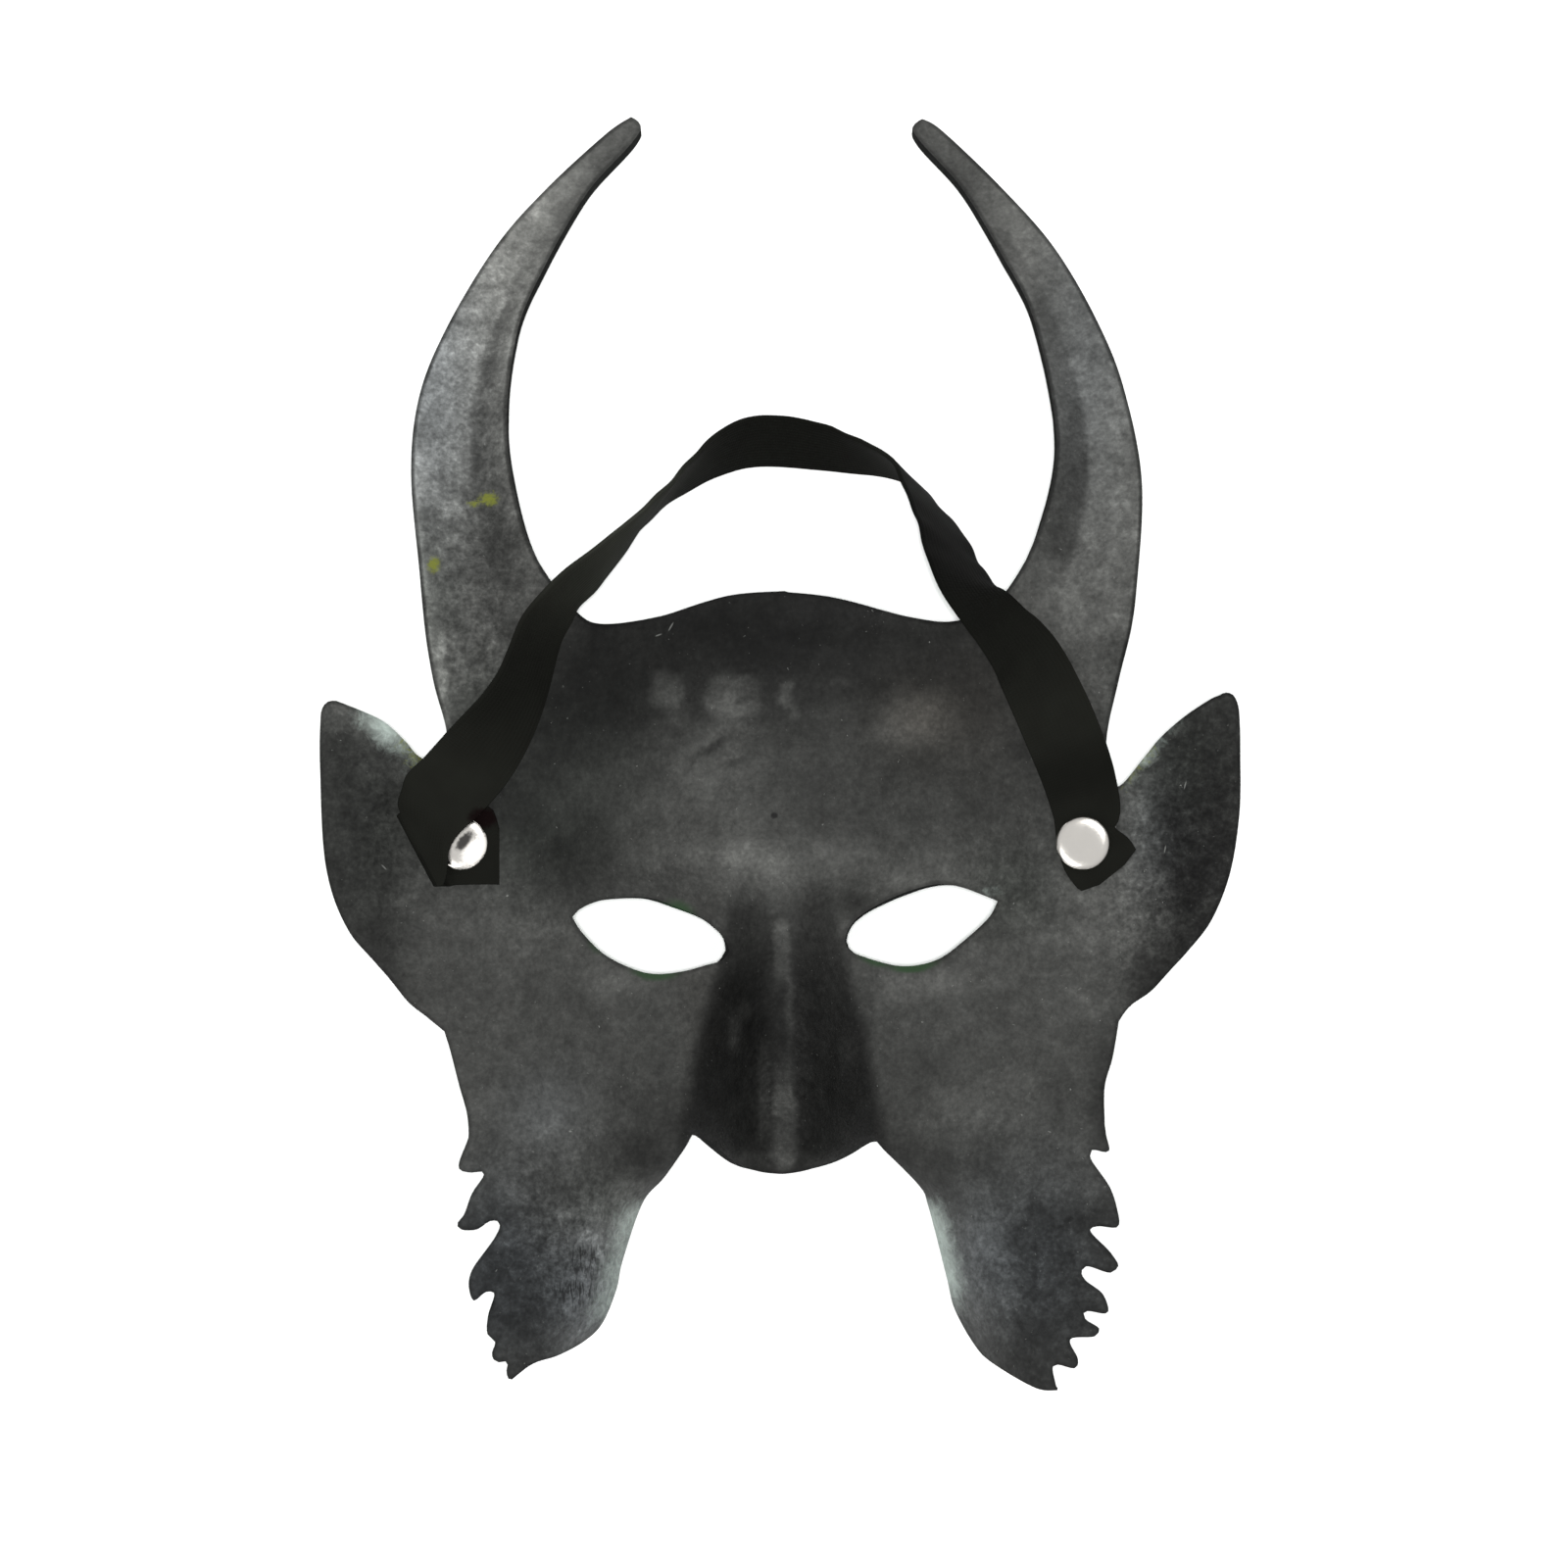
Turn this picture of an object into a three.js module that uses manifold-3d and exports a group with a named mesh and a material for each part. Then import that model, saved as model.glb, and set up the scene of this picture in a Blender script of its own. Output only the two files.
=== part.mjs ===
// A devil half mask, moulded from one sheet of leather, with an elastic strap riveted to its temples.
// It lies face down, on the tip of its nose and the tips of its horns, with its hollow back upwards.
// Millimetres. +X is the right of the back view, +Y points to the horns, +Z is up, out of the back.

import * as THREE from 'three';
import { mergeVertices } from 'three/addons/utils/BufferGeometryUtils.js';
import Module from 'manifold-3d';

const wasm = await Module();
wasm.setup();

const { clamp, lerp, smoothstep } = THREE.MathUtils;

// Leather sheet
const LEATHER_THICKNESS = 3;
const MOULD_STEP = 6; // distance between the points of the moulded surface
const EDGE_STEP = 3.5; // distance between the points of the cut edge
const SHEET_HALF_WIDTH = 120;
const SHEET_BOTTOM = -165;
const SHEET_TOP = 165;

// Face
const NOSE_X = 0.5; // the nose stands a little to the right of the middle of the outline
const FACE_HEIGHT = 35; // back of the leather between the brows, above the table
const TEMPLE_RISE = 30; // from the brows out to the temples
const TEMPLE_WIDTH = 80;
const FOREHEAD_LEAN = [[-25, 0], [0, 1], [20, 4], [42, 9]];
const BROW_DEPTH = 3.5;
const EYE_SOCKET = { u: 34, v: -45, reachU: 17, reachV: 9, rise: 3 };
const CHEEK = { u: 50, v: -76, reachU: 18, reachV: 16, rise: -3 };

// Nose: depth below the face and half width, down its length
const NOSE_DEPTH = [[-18, 0], [-38, 4], [-60, 13.5], [-80, 25.5], [-91, 32.2], [-99, 33.4], [-106, 28.5]];
const NOSE_HALF_WIDTH = [[-18, 12], [-40, 14], [-60, 18.5], [-80, 23.5], [-97, 26]];
const NOSE_RIDGE = 0.09; // share of the half width that the flat ridge takes

// Horns: height of the valley behind the horn, from its root to its tip
const HORN_VALLEY = [[20, 66], [45, 63.5], [80, 53.5], [115, 36], [140, 16.8], [160, 0.6]];
const HORN_VALLEY_PLACE = 0.62; // across the horn, from its outer edge
const HORN_OUTER_SLOPE = 0.26;
const HORN_INNER_SLOPE = 0.6;
const HORN_VALLEY_ROUND = 2.5;
const HORN_ROOT = 57; // the horn's inner edge, where it meets the forehead

// Ears and jaw lobes
const EAR_ROOT = 88;
const EAR_WIDTH = 27;
const EAR_RISE = 13;
const EAR_CUP = 10;
const EAR_TIP_CURL = 6;
const LOBE_TURN = 8; // how far the mouth edge of a lobe turns to the front
const LOBE_TURN_WIDTH = 15;
const LOBE_FORWARD = [[-96, 0], [-125, 1], [-160, 5]];

// Rivets and strap
const RIVET_CAP = { radius: 6.75, flat: 4, edge: 0.7, height: 1.9 };
const RIVET_POST_RADIUS = 2;
const RIVET_HOLE_RADIUS = 2.35;
const RIVET_HEAD = { radius: 5, height: 1.2 };
const RIVET_SIDES = 20;
const RIVET_PAD = 18; // the leather is level round a rivet
const GAP = 0.3; // between touching pieces
const STRAP_WIDTH = 20;
const STRAP_THICKNESS = 1.2;
const STRAP_CLEARANCE = 0.6; // between the riveted ends and the leather

// The outline, in distances outwards from the middle (u) and upwards (v), for each side of the mask.
// A tooth of the beard is a tip and the notch below it, and each belly is how far its back swells.
const LEFT = {
  sign: -1,
  foreheadToHornTip: [
    [-1, 41.2], [14, 40], [30.5, 35], [44, 33], [50.5, 35], [57, 43.5], [63, 57], [67, 80], [64.5, 104],
    [57, 122], [47, 139.5], [36, 154.5], [35.5, 158], [37.5, 159.5],
  ],
  hornTipToEar: [
    [37.5, 159.5], [44, 155], [59, 141], [71.5, 126.5], [84, 105.5], [91, 88], [93, 68.5], [90.5, 43],
    [87, 19.5], [83.5, 6], [83, -4],
  ],
  earTop: [[83, -4], [90, -1], [98.5, 7.5], [105.5, 10.5], [111.5, 13.5]],
  earOuter: [
    [111.5, 13.5], [114.5, 11], [115, -3.5], [113.5, -28.5], [107.5, -45], [95.5, -60], [88.5, -65.8],
    [84, -69.5],
  ],
  cheek: [[84, -69.5], [82.5, -74.5], [80.5, -82.5], [78.5, -90], [78, -96]],
  teeth: [
    { tip: [80, -104], notch: [73.5, -104.5], belly: 0.4 },
    { tip: [80.8, -118.3], notch: [70, -117.5], belly: 0.2 },
    { tip: [77, -137], notch: [71, -134.5], belly: 2.2 },
    { tip: [73.5, -145.5], notch: [70.5, -147], belly: 0.8 },
    { tip: [71, -152.5], notch: [68, -152.5], belly: 0.8 },
    { tip: [67.5, -156.5], belly: 0.3 },
  ],
  lobeInner: [
    [67.5, -156.5], [62.5, -153], [55.5, -150.5], [49, -147], [44.5, -142.5], [41, -134], [39.5, -127],
    [34.5, -112.5], [29, -106], [22, -96],
  ],
  noseBottom: [[22, -96], [12.5, -103], [-0.5, -105.5]],
  eyeTop: [[52, -41], [45.5, -37.5], [38.5, -37.5], [32, -38.5], [24.5, -41.5], [13.5, -49.5]],
  eyeBottom: [[13.5, -49.5], [20.5, -53.2], [33, -54.8], [44, -50], [52, -41]],
  rivet: [80, -22.5],
};
const RIGHT = {
  sign: 1,
  foreheadToHornTip: [
    [1, 41], [14.5, 39.5], [31.5, 35], [43, 33.5], [50.5, 36], [56.5, 41.5], [63.5, 56.5], [67.5, 78],
    [62, 107],
    [53.5, 124.5], [43.5, 141.5], [34, 154.5], [33.5, 157.5], [35.5, 159],
  ],
  hornTipToEar: [
    [35.5, 159], [40.5, 156], [55, 142], [68.5, 126.5], [79.5, 107.5], [86.5, 90], [91, 66], [89, 38.5],
    [84.5, 18.5], [81.5, 4.5], [81.5, -7],
  ],
  earTop: [[81.5, -7], [85.5, -7], [96, 5], [103.5, 10.5], [112, 16]],
  earOuter: [
    [112, 16], [115, 9], [114.5, -16], [111.5, -32.5], [104.5, -47], [94.5, -58], [87.5, -63], [84.5, -67],
  ],
  cheek: [[84.5, -67], [83, -76], [81, -83.5], [81, -93]],
  teeth: [
    { tip: [82, -99.5], notch: [77.5, -100], belly: 0.3 },
    { tip: [84.5, -118.5], notch: [77, -118.5], belly: 1.6 },
    { tip: [84.5, -128.5], notch: [75.5, -129.5], belly: 1 },
    { tip: [82, -140], notch: [75.5, -140], belly: 1 },
    { tip: [79.5, -145], notch: [72, -146.5], belly: 0.6 },
    { tip: [74, -153.5], notch: [68, -153], belly: 1 },
    { tip: [69.5, -159.5], belly: 0.4 },
  ],
  lobeInner: [
    [69.5, -159.5], [63, -158.5], [53, -152.5], [48.5, -148], [43.5, -139], [41.5, -131], [37, -113.5],
    [34.5, -108], [24, -97.5],
  ],
  noseBottom: [[24, -97.5], [13, -103], [0.5, -105.5]],
  eyeTop: [[54, -36.5], [46, -34], [39, -34], [27.5, -37.5], [17.5, -46.5]],
  eyeBottom: [[17.5, -46.5], [27.5, -52.3], [34, -52.8], [40.5, -51], [46, -46.5], [54, -36.5]],
  rivet: [75.5, -22.5],
};

// The strap's route from its left end to its right end. The tab has x, y and a share of the band's
// width; the route has x, y, z, the turn of the band about its own length, where 0 lies flat and 90
// stands on edge, and the share of its width. The left end is folded back on itself, and the right
// end is gathered by its rivet.
const STRAP_TAB = [[-70.2, -25.9, 0.7], [-72.3, -23.2, 0.96], [-80, -22.9, 1]];
const STRAP_FOLD = { start: [-96.3, -14.7], end: [-86.1, -33.3], ramp: 3.8, lift: 3.4, loop: 4.2 };
const STRAP_ROUTE = [
  [-86.3, -12.7, 71.8, 0, 1], [-77.9, -3.6, 71.2, 4, 1], [-69.9, 7.3, 73.4, 31, 1], [-64, 18.6, 76.2, 50, 1],
  [-59.5, 31.2, 77.4, 56, 1], [-53.1, 39.5, 76.8, 62, 1], [-44.4, 47.4, 67, 69, 1],
  [-37.7, 54.2, 53.5, 79, 1],
  [-31.6, 61.5, 40.2, 86, 1], [-24.9, 68.6, 27.3, 78, 1], [-15.6, 75.2, 16, 61, 1], [-7.6, 77.9, 10.7, 53, 1],
  [0.2, 78.1, 8.9, 52, 1], [7.9, 77.1, 8.9, 55, 1], [15.9, 75.7, 10.2, 61, 1], [24.3, 73.6, 16.2, 73, 1],
  [31, 70, 25.1, 87, 1], [36.6, 63, 38.1, 104, 1], [40.5, 55.8, 50.9, 117, 1], [43.3, 48.9, 63.1, 123, 1],
  [47.8, 40.5, 75.8, 129, 1], [55.7, 30.9, 79, 137, 1], [61.5, 23.2, 76.4, 153, 0.99],
  [66.2, 14.2, 73.8, 164, 0.97], [70.8, 3.8, 71.2, 174, 0.945], [74.1, -5, 68.2, 178, 0.915],
  [76.4, -14.3, 66, 180, 0.855], [76.6, -20, 66, 180, 0.79], [78.6, -25, 66, 180, 0.88],
  [81.8, -29.1, 66, 180, 0.91],
  [82.4, -29.9, 66, 180, 0.77], [82.8, -30.4, 66, 180, 0.45],
];

// A smooth line through points of (place, value), read at one place.
function profile(points, place) {
  const last = points.length - 1;
  const rising = points[last][0] > points[0][0];
  const at = (i) => points[clamp(i, 0, last)];
  let i = 0;
  while (i < last - 1 && (rising ? place > at(i + 1)[0] : place < at(i + 1)[0])) i += 1;
  const [from, start] = at(i);
  const [to, end] = at(i + 1);
  const slope = (j) => (at(j + 1)[1] - at(j - 1)[1]) / (at(j + 1)[0] - at(j - 1)[0]);
  const run = to - from;
  const t = clamp((place - from) / run, 0, 1);
  const s = 1 - t;
  return start * (1 + 2 * t) * s * s + end * t * t * (3 - 2 * t)
    + run * t * s * (slope(i) * s - slope(i + 1) * t);
}

const swell = ({ u, v, reachU, reachV, rise }, atU, atV) =>
  rise * Math.exp(-(((atU - u) / reachU) ** 2) - ((atV - v) / reachV) ** 2);

// Edges that only run up or down the mask, read as u at a height v.
function edgeAt(points, v) {
  const line = points.map(([u, height]) => [height, u]);
  return profile(line, v);
}
const hornOuterEdge = (side) => side.hornTipToEar.slice(0, -1);
const hornInnerEdge = (side) => side.foreheadToHornTip.slice(5, -1);
const lobeMouthEdge = (side) => side.lobeInner.slice(3);

// Height of the back of the leather above the table, at outward distance u and height v of one side.
function faceHeight(u, v, side) {
  const bowl = TEMPLE_RISE * (1 - Math.cos((Math.PI * Math.min(u, TEMPLE_WIDTH)) / TEMPLE_WIDTH)) / 2;
  const browLine = -25 + 0.004 * (u - 32) ** 2 * -1;
  const brow = BROW_DEPTH * Math.exp(-(((v - browLine) / 9) ** 2)) * (1 - smoothstep(u, 40, 66));
  const lobe = profile(LOBE_FORWARD, v);
  const noseLine = Math.abs(u * side.sign - NOSE_X);
  const across = clamp((noseLine / profile(NOSE_HALF_WIDTH, v) - NOSE_RIDGE) / (1 - NOSE_RIDGE), 0, 1);
  const nose = profile(NOSE_DEPTH, v) * (1 + Math.cos(Math.PI * across)) / 2;
  return FACE_HEIGHT + bowl + profile(FOREHEAD_LEAN, v) - brow + swell(EYE_SOCKET, u, v) + swell(CHEEK, u, v)
    - lobe - nose;
}

function hornHeight(u, v, side) {
  const outer = edgeAt(hornOuterEdge(side), v);
  const inner = Math.min(edgeAt(hornInnerEdge(side), v), outer - 1);
  const off = (outer - u) - HORN_VALLEY_PLACE * (outer - inner);
  const slope = off < 0 ? HORN_OUTER_SLOPE : HORN_INNER_SLOPE;
  return profile(HORN_VALLEY, v) + slope * (Math.hypot(off, HORN_VALLEY_ROUND) - HORN_VALLEY_ROUND);
}

function earHeight(u, v) {
  const out = (u - EAR_ROOT) / EAR_WIDTH;
  const outwards = smoothstep(u, EAR_ROOT + 3, EAR_ROOT + 19);
  const begins = outwards * (1 - smoothstep(v, 14, 22)) * smoothstep(v, -72, -60);
  const curl = EAR_TIP_CURL * smoothstep(v, -12, 16) * out;
  return begins * (EAR_RISE * out - EAR_CUP * out * out - curl);
}

function lobeTurn(u, v, side) {
  const inwards = clamp(1 - (u - edgeAt(lobeMouthEdge(side), v)) / LOBE_TURN_WIDTH, 0, 1);
  return LOBE_TURN * inwards ** 2 * (1 - smoothstep(v, -114, -98));
}

function rawHeight(u, v, side) {
  const beside = lerp(smoothstep(u, HORN_ROOT - 18, HORN_ROOT), 1, smoothstep(v, 42, 50));
  const horn = smoothstep(v, 20, 60) * beside;
  const face = faceHeight(u, v, side) + earHeight(u, v) - lobeTurn(u, v, side);
  return horn > 0 ? lerp(face, hornHeight(u, v, side), horn) : face;
}

const rivetLevel = (side) => rawHeight(...side.rivet, side);

function backHeight(x, y) {
  const side = x < 0 ? LEFT : RIGHT;
  const u = Math.abs(x);
  const height = rawHeight(u, y, side);
  const fromRivet = Math.hypot(u - side.rivet[0], y - side.rivet[1]);
  return lerp(rivetLevel(side), height, smoothstep(fromRivet, RIVET_CAP.radius, RIVET_PAD));
}

// The front of the leather, straight through its thickness from a point of the back.
function frontPoint(x, y) {
  const reach = 0.5;
  const slopeX = (backHeight(x + reach, y) - backHeight(x - reach, y)) / (2 * reach);
  const slopeY = (backHeight(x, y + reach) - backHeight(x, y - reach)) / (2 * reach);
  const normal = new THREE.Vector3(-slopeX, -slopeY, 1).normalize();
  return new THREE.Vector3(x, y, backHeight(x, y)).addScaledVector(normal, -LEATHER_THICKNESS);
}

// Solids: a closed geometry becomes a manifold solid, and a finished solid becomes a geometry again.
function solidOf(geometry) {
  const plain = geometry.clone();
  plain.deleteAttribute('normal');
  plain.deleteAttribute('uv');
  const merged = mergeVertices(plain, 1e-4);
  return new wasm.Manifold(new wasm.Mesh({
    numProp: 3,
    vertProperties: new Float32Array(merged.attributes.position.array),
    triVerts: new Uint32Array(merged.index.array),
  }));
}

function geometryOf(solid) {
  const mesh = solid.getMesh();
  const geometry = new THREE.BufferGeometry();
  geometry.setAttribute('position', new THREE.BufferAttribute(mesh.vertProperties, 3));
  geometry.setIndex(new THREE.BufferAttribute(mesh.triVerts, 1));
  const faceted = geometry.toNonIndexed();
  faceted.computeVertexNormals();
  return faceted;
}

// A closed grid of rings: every ring has the same number of points, and both ends are capped.
function loft(rings, closedRing) {
  const size = rings[0].length;
  const positions = rings.flat().flatMap((p) => [p.x, p.y, p.z]);
  const index = [];
  for (let r = 0; r < rings.length - 1; r += 1) {
    for (let i = 0; i < size; i += 1) {
      const a = r * size + i;
      const b = r * size + ((i + 1) % size);
      index.push(a, b, b + size, a, b + size, a + size);
    }
  }
  for (const [first, flip] of [[0, false], [(rings.length - 1) * size, true]]) {
    closedRing.forEach(([a, b, c]) => index.push(first + a, first + (flip ? b : c), first + (flip ? c : b)));
  }
  const geometry = new THREE.BufferGeometry();
  geometry.setAttribute('position', new THREE.Float32BufferAttribute(positions, 3));
  geometry.setIndex(index);
  return geometry;
}

// The moulded sheet before it is cut: a slab that follows the back of the face, one leather thick.
function mouldedSheet() {
  const columns = Math.round((2 * SHEET_HALF_WIDTH) / MOULD_STEP);
  const rows = Math.round((SHEET_TOP - SHEET_BOTTOM) / MOULD_STEP);
  const positions = [];
  for (let j = 0; j <= rows; j += 1) {
    for (let i = 0; i <= columns; i += 1) {
      const x = i * MOULD_STEP - SHEET_HALF_WIDTH;
      const y = SHEET_BOTTOM + j * MOULD_STEP;
      positions.push(x, y, backHeight(x, y), ...frontPoint(x, y).toArray());
    }
  }
  const back = (i, j) => 2 * (j * (columns + 1) + i);
  const front = (i, j) => back(i, j) + 1;
  const index = [];
  const quad = (a, b, c, d) => index.push(a, b, c, a, c, d);
  for (let j = 0; j < rows; j += 1) {
    for (let i = 0; i < columns; i += 1) {
      quad(back(i, j), back(i + 1, j), back(i + 1, j + 1), back(i, j + 1));
      quad(front(i, j), front(i, j + 1), front(i + 1, j + 1), front(i + 1, j));
    }
    quad(back(0, j), back(0, j + 1), front(0, j + 1), front(0, j));
    quad(back(columns, j + 1), back(columns, j), front(columns, j), front(columns, j + 1));
  }
  for (let i = 0; i < columns; i += 1) {
    quad(back(i + 1, 0), back(i, 0), front(i, 0), front(i + 1, 0));
    quad(back(i, rows), back(i + 1, rows), front(i + 1, rows), front(i, rows));
  }
  const geometry = new THREE.BufferGeometry();
  geometry.setAttribute('position', new THREE.Float32BufferAttribute(positions, 3));
  geometry.setIndex(index);
  return geometry;
}

// One stretch of the outline, as points at even steps along a smooth curve.
function stretch(points, sign, step = EDGE_STEP) {
  const curve = new THREE.SplineCurve(points.map(([u, v]) => new THREE.Vector2(sign * u, v)));
  const count = Math.max(2, Math.round(curve.getLength() / step));
  return curve.getSpacedPoints(count);
}

// The saw teeth of the beard: a swelling back down to each tip, and a straight cut in to its notch.
function toothEdge(side) {
  let from = side.cheek.at(-1);
  return side.teeth.flatMap(({ tip, notch, belly }) => {
    const middle = [(from[0] + tip[0]) / 2 + belly, (from[1] + tip[1]) / 2];
    const back = stretch([from, middle, tip], side.sign);
    if (notch) from = notch;
    return notch ? [...back, new THREE.Vector2(side.sign * notch[0], notch[1])] : back;
  });
}

function sideOutline(side) {
  return [
    ...stretch(side.foreheadToHornTip, side.sign),
    ...stretch(side.hornTipToEar, side.sign),
    ...stretch(side.earTop, side.sign),
    ...stretch(side.earOuter, side.sign),
    ...stretch(side.cheek, side.sign),
    ...toothEdge(side),
    ...stretch(side.lobeInner, side.sign),
    ...stretch(side.noseBottom, side.sign),
  ];
}

function withoutRepeats(points) {
  return points.filter((p, i) => p.distanceTo(points[(i + 1) % points.length]) > 0.2);
}

function prism(outline, holes = []) {
  const shape = new THREE.Shape(withoutRepeats(outline));
  shape.holes = holes.map((hole) => new THREE.Path(withoutRepeats(hole)));
  const geometry = new THREE.ExtrudeGeometry(shape, { depth: 140, bevelEnabled: false });
  geometry.translate(0, 0, -20);
  return solidOf(geometry);
}

function eyeHole(side) {
  return [...stretch(side.eyeTop, side.sign), ...stretch(side.eyeBottom, side.sign)];
}

function upright(radius, x, y) {
  const geometry = new THREE.CylinderGeometry(radius, radius, 140, RIVET_SIDES);
  geometry.rotateX(Math.PI / 2);
  geometry.translate(x, y, 50);
  return solidOf(geometry);
}

const rivetHole = (side) => upright(RIVET_HOLE_RADIUS, side.sign * side.rivet[0], side.rivet[1]);

// The mask's leather, cut to its outline, with a small flat where its nose and its horn tips rest.
function maskShell() {
  const outline = [...sideOutline(LEFT), ...sideOutline(RIGHT).reverse()];
  const cutter = prism(outline, [eyeHole(LEFT), eyeHole(RIGHT)]);
  const table = new THREE.BoxGeometry(400, 400, 60);
  table.translate(0, 0, -30);
  return solidOf(mouldedSheet())
    .intersect(cutter)
    .subtract(rivetHole(LEFT))
    .subtract(rivetHole(RIGHT))
    .subtract(solidOf(table));
}

// One ring of the strap: its four corners round a centre, from its width and the way it faces.
function strapRing(centre, width, facing) {
  const half = width.clone().multiplyScalar(0.5);
  const out = facing.clone().multiplyScalar(STRAP_THICKNESS / 2);
  return [[1, -1], [-1, -1], [-1, 1], [1, 1]].map(([w, t]) =>
    centre.clone().addScaledVector(half, w).addScaledVector(out, t));
}

function strapTabLevel() {
  return rivetLevel(LEFT) + STRAP_CLEARANCE + STRAP_THICKNESS / 2;
}

// The riveted end and the fold: the band runs out to the fold line, round it, and back over itself.
function strapEndRings() {
  const level = strapTabLevel();
  const up = new THREE.Vector3(0, 0, 1);
  const rings = STRAP_TAB.map(([x, y, share]) =>
    strapRing(new THREE.Vector3(x, y, level), new THREE.Vector3(0, STRAP_WIDTH * share, 0), up));
  const start = new THREE.Vector3(...STRAP_FOLD.start, level + STRAP_FOLD.lift);
  const end = new THREE.Vector3(...STRAP_FOLD.end, level + STRAP_FOLD.lift);
  const along = start.clone().sub(end);
  const outwards = new THREE.Vector3(-along.y, along.x, 0).normalize();
  const radius = STRAP_FOLD.loop / 2;
  const middle = start.clone().add(end).multiplyScalar(0.5);
  const rampFoot = middle.clone().addScaledVector(outwards, -STRAP_FOLD.ramp).setZ(level);
  rings.push(strapRing(rampFoot, along, up));
  for (let step = 0; step <= 6; step += 1) {
    const angle = (Math.PI * step) / 6;
    const lift = new THREE.Vector3(0, 0, radius * (1 - Math.cos(angle)));
    const centre = middle.clone().add(lift).addScaledVector(outwards, radius * (Math.sin(angle) - 1));
    const facing = new THREE.Vector3(0, 0, Math.cos(angle)).addScaledVector(outwards, -Math.sin(angle));
    rings.push(strapRing(centre, along, facing));
  }
  return rings;
}

// The free part of the band, which turns about its own length as it goes.
function strapRouteRings() {
  const route = new THREE.CatmullRomCurve3(STRAP_ROUTE.map(([x, y, z]) => new THREE.Vector3(x, y, z)));
  const last = STRAP_ROUTE.length - 1;
  const perPoint = 2;
  const rings = [];
  for (let i = 0; i <= last * perPoint; i += 1) {
    const t = i / (last * perPoint);
    const along = route.getTangent(t);
    const level = new THREE.Vector3(0, 0, 1).cross(along).normalize();
    const rise = along.clone().cross(level).normalize();
    const degrees = profile(STRAP_ROUTE.map((row, j) => [j, row[3]]), t * last);
    const turn = THREE.MathUtils.degToRad(degrees);
    const share = profile(STRAP_ROUTE.map((row, j) => [j, row[4]]), t * last);
    const width = level.clone().multiplyScalar(Math.cos(turn)).addScaledVector(rise, Math.sin(turn));
    const facing = rise.clone().multiplyScalar(-Math.cos(turn)).addScaledVector(level, Math.sin(turn));
    rings.push(strapRing(route.getPoint(t), width.multiplyScalar(STRAP_WIDTH * share), facing));
  }
  return rings;
}

function elasticStrap() {
  const ends = [[0, 1, 2], [0, 2, 3]];
  const band = solidOf(loft([...strapEndRings(), ...strapRouteRings()], ends));
  const [leftX, leftY] = LEFT.rivet;
  const hole = new THREE.CylinderGeometry(RIVET_HOLE_RADIUS, RIVET_HOLE_RADIUS, 3, RIVET_SIDES);
  hole.rotateX(Math.PI / 2);
  hole.translate(-leftX, leftY, strapTabLevel());
  return band.subtract(solidOf(hole)).subtract(rivetHole(RIGHT));
}

// A rivet: a low domed cap with a flat middle, a post through strap and leather, and a head in front.
function rivet(side) {
  const seat = rivetLevel(side) + STRAP_CLEARANCE + STRAP_THICKNESS + GAP;
  const front = rivetLevel(side) - LEATHER_THICKNESS - GAP;
  const dome = 4;
  const profilePoints = [
    [0, front - RIVET_HEAD.height], [RIVET_HEAD.radius - 0.6, front - RIVET_HEAD.height],
    [RIVET_HEAD.radius, front - RIVET_HEAD.height + 0.6], [RIVET_HEAD.radius, front],
    [RIVET_POST_RADIUS, front], [RIVET_POST_RADIUS, seat], [RIVET_CAP.radius, seat],
  ];
  for (let i = 0; i <= dome; i += 1) {
    const angle = (Math.PI / 2) * (i / dome);
    profilePoints.push([
      RIVET_CAP.flat + (RIVET_CAP.radius - RIVET_CAP.flat) * Math.cos(angle),
      seat + RIVET_CAP.edge + (RIVET_CAP.height - RIVET_CAP.edge) * Math.sin(angle),
    ]);
  }
  profilePoints.push([0, seat + RIVET_CAP.height]);
  const points = profilePoints.map(([r, z]) => new THREE.Vector2(r, z));
  const geometry = new THREE.LatheGeometry(points, RIVET_SIDES);
  geometry.rotateX(Math.PI / 2);
  geometry.translate(side.sign * side.rivet[0], side.rivet[1], 0);
  return solidOf(geometry);
}

const leather = new THREE.MeshStandardMaterial({ color: 0x3c3c3a, roughness: 0.6, metalness: 0 });
const elastic = new THREE.MeshStandardMaterial({ color: 0x1b1b17, roughness: 0.75, metalness: 0 });
const rivetSteel = new THREE.MeshStandardMaterial({ color: 0xc7c4bc, roughness: 0.25, metalness: 1 });

const pieces = [
  ['mask_shell', maskShell(), leather],
  ['elastic_strap', elasticStrap(), elastic],
  ['rivet_left', rivet(LEFT), rivetSteel],
  ['rivet_right', rivet(RIGHT), rivetSteel.clone()],
];

const mask = new THREE.Group();
for (const [name, solid, material] of pieces) {
  const mesh = new THREE.Mesh(geometryOf(solid), material);
  mesh.name = name;
  mask.add(mesh);
}

export default mask;
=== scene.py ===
# %% [markdown]
# # A leather devil mask, seen from its back
#
# The mask is one sheet of leather, moulded wet over a form, dyed black behind and painted green in
# front. A flat elastic strap is riveted to both temples. The mask lies face down on the tip of its nose
# and the tips of its horns, so the camera looks straight down into its hollow back.
#
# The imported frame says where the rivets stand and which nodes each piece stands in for. Sizes below are
# written in millimetres, as a mask maker would say them, and turned into metres where a mesh is made.

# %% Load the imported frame
import math

import bpy
import numpy as np
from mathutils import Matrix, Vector, kdtree, noise
from mathutils.geometry import delaunay_2d_cdt


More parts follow.
